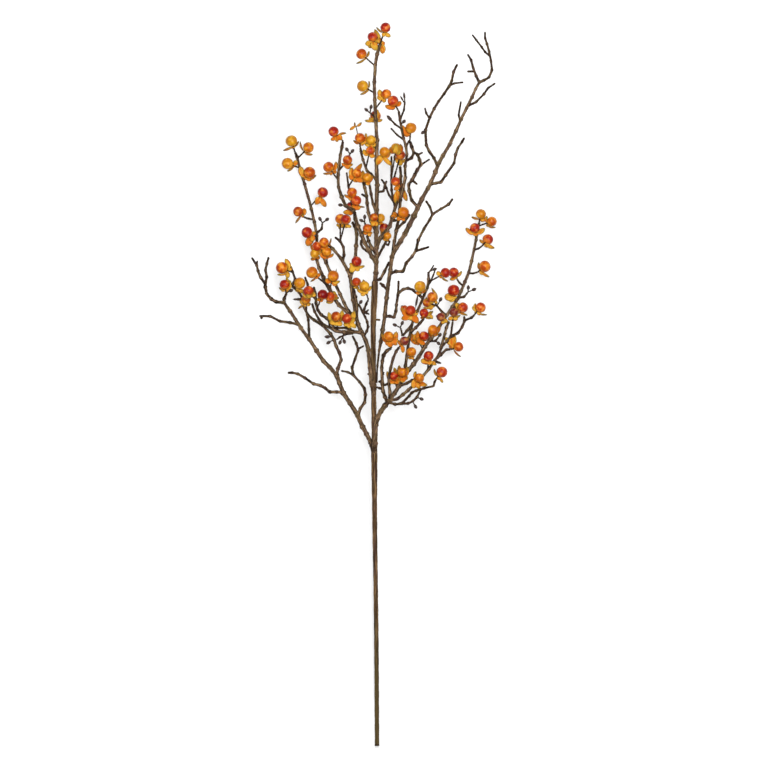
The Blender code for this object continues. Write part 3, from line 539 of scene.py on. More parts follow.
# The sprays. A twig's row has its radius at both ends, how far it rises, and its route. "foot" is the height
# at which a spray leaves the stem, and a "lead" goes before its first twig, with drops below that height.
centreSpray = {"foot": 36.4592, "twigs": [
    (2.2, 1.2, 18, (374.9, 280.9), (1, -7.9), (0.4, -11), (0.1, -14), (0, -16), (0.2, -22), (0.4, -25),
     (-0.5, -25), (0.5, -20), (-1.2, -20), (-1, -20), (-0.5, -18), (0.9, -17), (2.1, -11), (3.3, -11)),
    (1.9, 1.4, 9, (375, 263), (-3.4, -6.5), (-2.6, -6.5), (-4, -7), (-3.2, -8), (-3.8, -8.5), (-2.7, -7.5),
     (-1, -8)),
    (0.8, 0.6, 1, (371.5, 253.5), (-5, -3.2), (-3.5, -2.3), (-1.8, -4), (-0.2, -4.5)),
    (1.3, 1, 5, (375.8, 254.5), (-4.3, -7), (-3, -6.5), (-1.5, -6)),
    (1.4, 1, 6, (376, 233), (-5, -11), (-2.7, -9), (-1.3, -10), (-0.5, -7), (-1.7, -8), (-2, -8)),
    (0.8, 0.6, 1, (366.4, 197), (-5.4, -3)),
    (0.95, 0.8, 4, (376.5, 214), (-3.5, -10), (-1.7, -10), (-2, -10)),
    (1, 0.7, 7, (377, 180), (-6, -6), (-4, -3), (-4, -11), (-2, -8), (-0.8, -5)),
    (1.5, 0.8, -6, (354.3, 211), (-8.8, -5), (-4, -9), (-3.2, -10), (-0.3, -12), (1, -10), (1.5, -10),
     (1.5, -8), (1, -6)),
    (0.8, 0.5, 3, (354.3, 211), (-4.8, -15), (-1.3, -10), (-1.7, -14)),
    (1.7, 1, 5, (375.9, 247), (4.7, -9.5), (5.4, -6.2), (4, -5.3), (2.4, -9), (3, -10), (2.6, -7), (2.5, -10),
     (0.5, -14), (-1, -10)),
    (0.9, 0.6, -2, (395.4, 207), (-2.4, -9), (-1.4, -8), (-0.2, -15), (0.1, -19)),
    (0.6, 0.5, 0.5, (391.6, 184.5), (2.7, -6.5), (2, -8)),
    (1, 0.8, -3, (375.8, 259), (7.2, -12), (3.3, -6.5)),
    (0.6, 0.5, 0.5, (385, 243.3), (3.2, 2.3), (1.8, -5.1)),
    (0.8, 0.6, 4, (376.9, 192), (6.7, -0.7), (1, -5.3), (2.2, -5.4)),
    (0.7, 0.6, -1, (394, 203), (-5, -8), (-2.5, -7), (-1.7, -4.5), (-3.8, -4.5)),
    (1, 0.9, -3, (376, 281), (4.2, -1.5), (4.1, -7.7), (4.9, -10.3)),
    (0.6, 0.5, 1, (375.8, 118), (-5.8, -5)),
    (0.6, 0.5, -2, (339.2, 171), (4.8, -7), (6, -10)),
    (0.6, 0.5, 1, (363.5, 232), (2, -6), (-1, -4)),
    (0.8, 0.8, 0.3, (390, 220.5), (4, -0.2), (3, 0.7)),
], "berries": [
    (385.5, 27.5, 5.2, 3, -4.9, 15.5, "red", (5, 9.5, 2), (-9.2, -0.5, 1), (-2.5, 9.5, 1.8)),
    (372.5, 37, 5, -4, 6, 14, "red", (2, -8, 2.6, -4), (-7.5, 6.5, 2.8), (-3.7, 11, 3), (4.5, 13.5, 3.6, 5),
     (9, 1.5, 3.2, -3)),
    (361.5, 54, 5.3, 2, 13.5, 12, "orange", (7.5, -3, 1.2), (-5.5, 9.5, 1.1), (4.5, 5.5, 2)),
    (362.5, 86, 5.8, 2, 11.8, 7, "yellow", (6.3, -5.5, 0.9), (-2.5, 8.5, 1.2), (3, 5.5, 1.5)),
    (386.5, 94, 5, 5, -11, 15, "orange", (-7, -4.5, 2.6), (-9.5, 4, 2.8), (-3.5, 8.5, 2.4)),
    (375.5, 116, 5.4, -8, 0.1, 8, "orange", (-11, 4.5, 1.4), (7, 3.5, 1.5), (-5, 1, 2.4), (0.5, -6.5, 2.2)),
    (371, 140, 5, 5, 5.7, 10, "yellow", (-6.5, 3, 2.2), (5, 5, 2), (-1.5, 6, 2)),
    (370, 150.5, 4.3, 4, -4, 17.5, "flame", (-6.7, -1, 2.2), (5, 5.5, 2.2), (3, -5, 1.8)),
    (384.5, 152, 5.2, 3, -7.9, 15, "honey", (-7.7, 13.5, 3), (6.8, 13.5, 2.2), (-6.5, 6.5, 2.4), (6, 0, 1.6)),
    (374, 217.3, 4.2, 4, 2.3, 8.7, "rust", (-2.5, 8.7, 2.4, 2), (3, 9.2, 2.2, 2), (-3.7, 2.7, 2, 2)),
    (380.5, 218, 4.6, -4, -4.2, 11, "yellow", (3, 5, 2.2), (-1.5, 7, 2)),
    (384.2, 228.3, 5.2, -4, -3.7, 8.7, "wine", (-3.9, 5.2, 2), (4.8, 1.7, 1.5)),
    (387.5, 236, 4, 2, -1.3, 5, "honey", (-4.5, 2.5, 1.6), (1.5, 4.8, 1.4)),
    (367.5, 228.5, 4.6, 5, -0.5, 11.5, "orange", (3, 8.3, 1.6), (-4, 3.5, 1.8), (5, 4, 1.4)),
    (360, 138, 5.2, 1, 0.2, 9, "orange", (-6.7, 2, 1.2), (6, -5, 2), (4, 5.5, 2)),
    (333.5, 131.5, 5.3, 2, 9.5, 9.5, "red", (13, 1.8, 1.2), (-3, 8.5, 2), (8.5, 8.5, 2.7), (4, 10.5, 2)),
    (347.5, 160, 4.8, 5, -8.3, 11, "rust", (-5, 6, 2.2), (3, 8, 2.4), (5.5, 4, 1.8)),
    (328.5, 167, 5.3, 1, 9.5, 13, "orange", (-5.5, 6.5, 1.2), (2.5, 8.5, 1.6), (7.8, 6.5, 2.2),
     (7.5, -5.5, 2)),
    (357, 173, 4.8, 4, -8.7, 14, "orange", (-8.5, 4, 3), (0, 9.5, 3.2), (5, -9.5, 2.6), (-5, -5.5, 2.6),
     (7.5, -1, 2.6), (7, 8, 2.4)),
    (366.8, 177.5, 4.8, 6, -2.3, 9.5, "honey", (3.7, 5.5, 2.6), (-3.8, -7, 2.2), (5.2, -2.5, 2)),
    (352, 192.5, 5, 4, 0, 11.5, "orange", (-7.7, 2, 1.4), (-3.5, 7, 2.2), (5.8, 3.5, 1.6)),
    (356.2, 200.5, 5.2, 5, -1.6, 12.5, "coral", (2.8, 9.5, 3), (8.8, 6.7, 0.9), (-4.2, 6.5, 2)),
    (350.5, 206.5, 4.6, -5, 4, 6.5, "wine", (-7.5, 5.5, 2.4), (-2, 8.5, 2.4)),
    (395.5, 181.5, 4.6, 3, 2, 19.5, "flame", (2.5, 8, 2.6), (6.3, 0.5, 2.4), (4, -5, 2)),
    (396, 148, 5, 3, -4.6, 30, "yellow", (-5, -1, 2.4, 2), (4.5, -4.2, 2.4, 2), (3.5, 2, 2.6, 3),
     (0.5, -3.2, 2.4, 3)),
    (400.5, 155, 5, -4, -4.2, 15, "flame", (-6, 0, 2.4), (-0.5, 11, 2.6), (5.5, 5, 2.2), (-4, 8, 2.2)),
], "buds": [
    (366.3, 109.8, 3.7, 3.2), (371, 107, -1, 6), (340.5, 205, 4, 0.5), (347, 149.5, 3, 4.5),
    (352.5, 151, -2.5, 3), (361.3, 220.5, 3.2, 1.5), (364.7, 217, -0.2, 5),
], "husks": [
    (381.5, 44, -1.3, 1, -1.5, (3.3, -1.7, 2.4), (1, 9.8, 2.8), (-3, -5.5, 2.4)),
    (356, 126.3, 3.5, 16.7, 1, (-6.2, 3.9, 1.5), (5.7, -4, 1.3), (-1.2, -4.3, 0.9)),
    (397, 190.5, 2.5, 2.5, 4, (-1.6, 13, 1.7), (3.5, 7, 1.8), (-1, -4.5, 2.6), (2.5, 12.5, 1.6)),
    (405, 190.5, -4.7, -1.5, 2, (2, 10.5, 2.2), (-0.8, 8.5, 1.6)),
    (394.5, 214.5, -2, -1.5, 2.5, (-2, 4.5, 2.4), (3.5, 2, 2.2), (0, -2.7, 2)),
]}


leftBerrySpray = {"foot": 33.1684, "footShadeAt": 10, "lead": (
    (373.7, 398, -4.9, 0.9), (373.4, 394, -3.7, 1.3), (372.9, 390, -1.9, 1.7), (372.2, 386.3, -0.5, 1.9),
), "twigs": [
    (2, 1.1, -4, (371.6, 383), (-1.7, -15), (-1.3, -18), (-3.1, -10), (-4, -8), (-3.5, -8), (-2.5, -11),
     (-2.5, -13), (-1.5, -13), (-1.5, -11), (-2.5, -6), (-7, -12.5), (-7.5, -8.5), (-6, -5.5)),
    (1.5, 0.9, -29, (357, 320), (-8, -6), (-10, -9), (-4, -6), (-6, -11), (-5.5, -10.5), (-4.5, -9.5),
     (-2.5, -9), (0.5, -23), (-2.5, -14), (-3, -13), (-3.5, -13), (-3.5, -12), (-3, -9), (-4.5, -18),
     (-2, -5)),
    (1.3, 1.1, -10, (356.5, 318), (-8, -7), (-4.5, -8), (-4, -8.5), (-4.5, -9.5), (-5.5, -13), (-4, -9),
     (-3, -7), (-2.5, -6)),
    (1.2, 0.9, 3, (356.4, 317), (0.6, -12), (-1.5, -8), (-2.1, -9)),
    (1.2, 1, 4, (350.5, 278), (3, -10), (1.8, -11), (0.7, -11, 1.5), (0.8, -12), (-1.8, -8), (-3, -4.5)),
    (0.9, 0.7, 4, (342.5, 261), (1.5, -6), (-0.7, -8), (-3.3, -6), (-5.4, -4)),
    (1.5, 1.2, 3, (361.5, 333), (-9.5, -1.5), (-8, 0.5), (-8, -1), (-6, -3.5)),
    (0.9, 0.7, 0.5, (353, 331), (-7, -3.4), (-8, 0.7), (-6.5, -2)),
    (0.6, 0.5, 0.5, (330.2, 327), (-1.4, -6.5), (-0.3, -7.5)),
    (1, 0.8, 5, (334, 330), (-2.5, -7), (-5, -4.7), (-5.5, -3.3), (-3.5, -5), (-1.8, -7), (0, -9),
     (-2, -7.5)),
    (0.9, 0.7, 6, (330, 327.5), (-6, -2.5), (-5, -5.5), (-4.5, -8), (-2.5, -8.5)),
    (0.7, 0.6, 5, (334, 297.5), (-4, -6.5), (-6, -9.2), (-4.5, -2.8)),
    (0.8, 0.6, 6, (364, 336), (2.8, -4.5), (1.5, -4.5), (-1, -5), (-2.3, -5), (-2.5, -5), (-3.7, -7.5)),
    (0.7, 0.6, 3, (363, 313.5), (1, -4.5), (2, -5), (2.3, -4.5)),
    (0.5, 0.4, 0.3, (353, 333.5), (-8, 1.1), (-5.5, 2.7), (-3.2, 2.7)),
    (0.6, 0.5, 1, (345, 332), (-2.3, 5)),
    (0.8, 0.6, 2, (317, 233), (4.7, -4), (0.7, -6)),
    (0.6, 0.5, 0.5, (363, 312), (3, 1), (3.5, 1.5)),
    (0.5, 0.4, 0.3, (364, 312.5), (2.5, -1), (2.5, -2)),
    (0.6, 0.5, 0.3, (313.5, 219.7), (-5.7, -1), (-4.8, -1.9)),
], "berries": [
    (291.5, 141, 5.8, 0, 3.5, 11, "yellow", (-8.5, 9.7, 1.2), (7.2, 0, 1), (2.5, 7, 2)),
    (308.5, 147.5, 5.5, 1, -11, 11, "amber", (-8.3, -6.5, 0.9), (4.3, 7, 1.3), (-4.5, 5.5, 1.5)),
    (287.5, 163.5, 5.8, 2, 11.8, 4.5, "honey", (10, -2.5, 2.4), (-0.5, 7.8, 1.2), (7, 3.5, 2)),
    (309.5, 172.5, 5.8, 3, -6.5, 8.5, "orange", (-9.2, -6.2, 3), (-5.5, 6, 2.4), (2.3, 6.8, 2),
     (6.8, 2.5, 1.6)),
    (322.8, 192.5, 5.4, 5, -11.8, 13.5, "red", (-7.8, 12, 3), (3, 14.5, 2.6), (-3.3, 11, 2.4)),
    (298, 211.5, 5.1, 2, 5, 5.3, "rust", (6.3, -3.2, 2.6), (-2.7, 12, 1.1), (5.5, 3.5, 2.2)),
    (307, 232.5, 5.6, 5, 9.8, 5.5, "red", (8.7, -0.5, 2), (6, 9, 3), (0, 13.5, 3.6)),
    (324, 242.5, 5, 2, 9, 6.5, "orange", (7, -4.5, 0.9), (6, 1, 1.4), (-5, 5, 2)),
    (316.8, 246.3, 4.8, 7, 6.2, 9.7, "flame", (-6.3, -1.3, 2.2), (4.7, 4.7, 1.8)),
    (314.6, 253.6, 4.8, 6, 2.4, 7.4, "yellow", (-3.1, 4.4, 1.6), (5.2, 3.4, 1.6)),
    (326.6, 251.8, 4.9, 4, 0.9, 14.2, "amber", (-6.6, -0.3, 2.4), (2.4, 6.2, 2), (7.2, 1.7, 1.4),
     (-4.6, 5.2, 2)),
    (312, 272.5, 5.8, 3, 7.5, 6.5, "amber", (8.5, 1.5, 1.8), (-1.5, 9, 1), (4.5, 6.5, 1.8)),
    (333.3, 276, 5.8, 2, -3.8, 14, "amber", (-7.8, 3, 2.6), (4.2, 8, 2.8), (3.2, -7.5, 0.8), (6.7, 5, 1.6)),
    (322.6, 294.7, 5.3, 3, -5.8, 13.8, "wine", (-4.6, 4.3, 1.6), (-0.6, 7.3, 2)),
    (330, 297, 5.1, 7, 6.5, 4.5, "flame", (5.5, -3, 2.6), (9, 0.5, 1.2), (-4, 5, 2), (3.5, -6, 2)),
    (308.5, 291, 5.2, 2, 7.2, 9, "coral", (7, 2.5, 2.4), (2.5, 6.5, 2.2), (-6.2, 1.5, 2.4), (-2, 3, 2.2, 4)),
    (336, 316.5, 5.2, 4, 2, 14.8, "rust", (-7.5, -4.5, 2.6, 3), (-6.5, 5, 2.6, 2), (-1, 9.3, 2.6, 1),
     (5.5, 9.5, 2.6, 1), (6, -6.2, 2.8, 3)),
    (346.8, 318.6, 5, 9, 5.2, 12.9, "coral", (7.2, -7.8, 2.6), (7.7, -0.6, 2.4), (3.7, 9.7, 2.8),
     (-3.3, 5.9, 2.2), (9.2, 9.4, 2.2)),
    (356.5, 261.5, 5.2, 6, -7.2, 12.5, "red", (-6, 11, 3), (8.3, 4.3, 1.6), (3, 9, 2.4), (-6.5, 1.5, 1.8)),
    (356.5, 282, 4.6, 5, -4.5, 9, "flame", (-0.5, 6.5, 2), (-5, -3, 1.2)),
    (364.2, 286, 5.3, 5, 4.1, 13.5, "yellow", (-2.7, 10, 2.4), (2.3, 8.5, 2.2), (7.1, 0, 1.6), (-7.2, 3, 2),
     (-1.2, -6.5, 1.8)),
    (346, 219.5, 5, 2, -5.5, 21.5, "red", (5.5, 7.5, 1.6), (0, 8.8, 2.6)),
    (340.5, 219, 5.3, -4, 0, 22, "orange", (-1, 10.5, 1.4), (3.5, 8.8, 2.4)),
], "buds": [
    (360.8, 302, -2, 2.5), (340, 342.5, 2.7, -5.5), (344.2, 341.5, -1.5, -4.5), (320, 219, 2.4, 4),
    (327, 219.5, -4.6, 3.5),
]}


leftLowSpray = {"foot": 20.2861, "footShadeAt": 15, "lead": (
    (374.1, 461, 2, 0.9), (373.6, 455, 1.7, 1.3), (372.6, 449.5, 0.7, 1.7), (371.7, 445.5, 0.1, 1.9),
), "twigs": [
    (1.9, 1.3, 3, (371, 442.5), (-4.5, -8.5, 2.3), (-3.7, -7, 2.2), (-5, -11.5), (-7.8, -12.5), (-6.5, -10),
     (-4, -10), (-3, -7.5), (-6.5, -8), (-6.5, -6.5), (-7, -10.5), (-7, -11), (-8.5, -11.5), (-5.5, -8.5),
     (-5.5, -8.5), (-6, -8.5)),
    (1.3, 1.1, 3, (284, 302.8), (-8, -0.8), (-5, -3), (-4.2, -5), (-1.3, -7), (-0.2, -3.5)),
    (0.9, 0.7, 5, (265.4, 284), (1.6, -7), (-1.5, -7), (1.2, -6), (2, -7.2)),
    (1, 0.7, 3, (265.3, 284), (-4.8, -6.5), (-2.5, -6.5), (-1.2, -5.5), (-5.3, -8.2)),
    (0.7, 0.5, 1, (256.9, 265), (0.4, -4.5)),
    (1, 0.8, 2, (284, 302.5), (0, -4), (2.8, -6)),
    (1.2, 0.8, -7, (343, 392.5), (-6, -0.5), (-7.2, 0), (-4.3, -4), (-4.9, -2.7), (-7.1, -1.3), (-8.5, -6),
     (-7, -4), (-6, -1.3), (-4.5, 0.3)),
    (1, 0.7, -2, (298, 324.5), (-8, -2), (-10, -1.2), (-9.6, -5), (-11.4, -0.3)),
    (0.8, 0.7, 0, (261.5, 316), (0, 3.3)),
    (1.2, 0.6, 1, (358, 416), (2, -7.5), (4.5, -6), (0.8, -7.5), (-1, -6.5), (-4.8, -6.5), (-6, -7),
     (-5.5, -3), (-7.2, -1.2)),
    (1, 0.7, 5, (353.2, 375), (-1.2, -7.5), (2.8, -8), (3.5, -9.5), (-1.8, -6.5), (-4.2, -8)),
    (0.6, 0.5, 1, (358.3, 349), (6, -3.3)),
    (1.3, 0.8, 4, (337, 376), (1, -7.5), (3.2, -8.5), (-1.9, -7), (-3.5, -7), (-1.8, -6), (-3.5, -6),
     (-8, -8.5), (-8.5, -5.5), (-6, -5), (-3.5, -7.5), (-2, -9), (-3, -6), (-6, -5.5), (-2.5, -3.5)),
    (0.8, 0.6, 1, (292, 285), (3, -6), (-2.5, -7), (-1.7, -6)),
    (0.9, 0.8, 1, (309.5, 339.5), (-0.6, -10.5), (-0.6, -9), (-1.8, -7.5)),
    (0.8, 0.5, 0, (302.6, 299.3), (-4.6, 0), (-4.5, 0)),
    (0.7, 0.6, 3, (303, 300), (4, -9), (1, -6.5), (-3.2, -8)),
], "berries": [
    (281.7, 267.7, 6, 1, 11.1, 4.8, "orange", (3.3, -9, 2.6), (9.8, -1.7, 3), (6.8, 10.3, 2.4),
     (-4.7, 6.8, 1.4)),
    (299.7, 283.2, 5.8, 3, 0.8, 11.8, "honey", (2.3, 10.3, 2.2), (-5.2, 3.8, 1.4)),
    (306, 299.5, 4.8, 3, 0.5, 12.5, "amber", (-5, -1.5, 2), (-2, 5, 2), (4.5, 3.5, 1.8), (-8, 9.5, 1)),
    (284.5, 284.5, 5, 2, 2, 9.5, "red", (-5.5, 2.8, 1.2), (-3.5, 5.5, 1.6), (2.5, 7.5, 2.2), (5.3, -4.5, 2),
     (1.8, -7.7, 2)),
], "buds": [
    (327.3, 336.8, 4.7, 0.2, 1, 1.8, 1.5), (328.5, 342.6, 4.5, -2.6), (291, 290.5, -4.2, 2),
    (296.3, 299.3, 4.7, 0, 0.3, 1.15, 2.7),
]}


rightTallSpray = {"foot": 25.9551, "footShadeLength": 34, "twigs": [
    (0.4, 1, 52, (376.7, 383), (0.7, -17, 0.5), (1.8, -16, 0.8), (1.7, -8, 1.5), (1.7, -12), (2.4, -15),
     (1.6, -17, 1.6), (1.4, -13), (2.5, -15), (1.3, -13, 1.6), (4.2, -9), (5, -7), (4, -7, 2.3),
     (4.5, -9, 2.3), (4.5, -9, 2.4), (3.6, -7.6, 2.2), (4.4, -9.4), (5.5, -10), (3.5, -7, 1.6), (4.5, -10),
     (3.5, -9), (4, -7.5), (7, -11.5), (6, -13), (5, -12), (5.5, -11), (5.5, -11), (3.5, -8), (3.8, -6.5)),
    (1.4, 0.8, 16, (391.8, 256), (2.5, -15), (2.2, -10), (1.9, -11), (1.9, -20), (2.7, -11), (2, -11),
     (0.2, -12), (1.8, -11), (-1, -9), (-2.5, -8), (-3.5, -18), (-1.2, -9)),
    (1, 0.9, 5, (396.8, 229), (7.5, -7), (5.7, -8)),
    (0.8, 0.6, 6, (467.5, 106), (8.5, -4), (8, -8), (4, -6), (7.5, -5)),
    (0.7, 0.5, 5, (460, 121), (-1.5, -6), (2.5, -14)),
    (0.9, 0.6, 5, (479.3, 82.5), (-3.3, -6.5), (-3, -8), (-2, -8), (-3.5, -6)),
    (0.6, 0.8, 1, (474, 71.5), (-7, 0)),
    (0.9, 0.6, -3, (479.3, 82.5), (4.7, -2), (5, -3), (3, -7.5), (-1, -9), (-2, -10), (-2, -7), (-2, -6),
     (0, -6.5)),
    (0.6, 0.5, 6, (489.5, 56), (-4.5, -4), (-3.5, -5), (-5.5, -7), (-4, -5.5)),
    (1.1, 0.7, -8, (431, 185), (5, -2), (5, -1), (4.5, -7), (8.5, -12), (1.5, -8), (2.5, -7), (4, -6),
     (2.5, -4.5)),
    (1.1, 0.8, 10, (437.5, 166), (-3.5, -8), (-4.5, -6), (-3.2, -7), (-0.8, -15), (4.5, -13), (4, -8),
     (4.5, -7.5), (5.5, -7.5), (5, -7.5), (2.5, -5.5), (2, -9), (4, -8)),
    (0.6, 0.5, 1, (449.5, 86), (4.5, -2.5), (9.5, -1.2)),
    (0.6, 0.5, 1, (429.5, 118.3), (-3.2, -5), (-1.3, -5.8)),
    (1.1, 0.6, 6, (417, 207), (-5.5, -6.5), (-2.5, -9.5), (-0.7, -6.5), (3.7, -4.5), (2.5, -5), (2.5, -5),
     (4, -5.5, 1.2), (-1.3, -4.5), (-1.9, -5.5, 1.1), (-4, -2.2, 0.9)),
    (0.6, 0.5, 1, (417.5, 155), (5.5, -2.7)),
    (0.6, 0.5, 1, (420, 164.5), (10, -5.5)),
    (0.7, 0.6, 1, (412, 180), (5.5, 4.5)),
    (1.2, 0.8, 8, (390, 274), (6, -2.5), (7, -0.2), (3, -8.3), (6, -6.5), (4, -6.5), (2, -10), (6.2, -11.5),
     (5.6, -8.8), (3.2, -5.7), (8, -5), (7.5, -4.5), (4.5, -6)),
    (0.8, 0.7, 1, (432.5, 215), (-2.5, -8), (-4.3, -6.5)),
    (0.8, 0.7, 2, (415.5, 251), (6.5, -2), (7.5, -2.3)),
    (1, 0.7, 5, (385, 316.5), (5, -0.5), (4, 1.5), (2, -6.5), (0.5, -6), (1.5, -10), (0.5, -14.5)),
    (1, 0.8, 1, (398.3, 293.5), (4.7, -4), (5, -1.1), (5, 1.6), (3.5, 3.6)),
    (1, 0.8, -2, (387.5, 290), (-4.5, -4.5), (-3.4, -2.9)),
    (0.6, 0.5, 1, (401.5, 129), (-6.5, -4.5), (-4.5, -5)),
    (0.5, 0.5, 1, (404, 140), (-7, -5), (-6.5, -7)),
    (0.6, 0.5, 1, (406.2, 147), (3.1, -7)),
    (0.6, 0.5, 2, (400, 120), (4, -10), (1, -8.5)),
    (0.9, 0.8, 1.5, (405.6, 160.8), (5.9, -2.6), (2.2, -5.7, 1), (-2.1, -5.5), (-1.8, -5.8, 1)),
], "berries": [
    (393, 101, 5.5, 1, 5.8, 11, "coral", (7.5, 0, 2.2), (-8, 4.5, 2.4), (-3.5, 7.5, 2)),
    (411, 128, 5.5, 2, -1.2, 13, "honey", (-10, -3, 3), (-7.5, 5, 3), (-3, 8.5, 2)),
    (403.5, 212.5, 5.7, 5, -5.5, 9.5, "amber", (-6.5, 8, 2), (2.5, 8, 1.6)),
    (420, 286.5, 5.8, 4, -3.5, 7.1, "yellow", (-2.5, 8.5, 1.8), (6.3, 1.5, 1.4), (1.8, 7.5, 1.2)),
], "buds": [
    (389.5, 118.4, 4, 4, 0.5, 1.7, 2), (403.8, 121.6, -3.4, 2.9), (404.3, 96, 0.7, 6.5, 1, 1.15, 3.1),
    (401.8, 98.5, 2.8, 5, 1, 0.95, 3), (423, 132.5, 2.6, -1.5),
]}


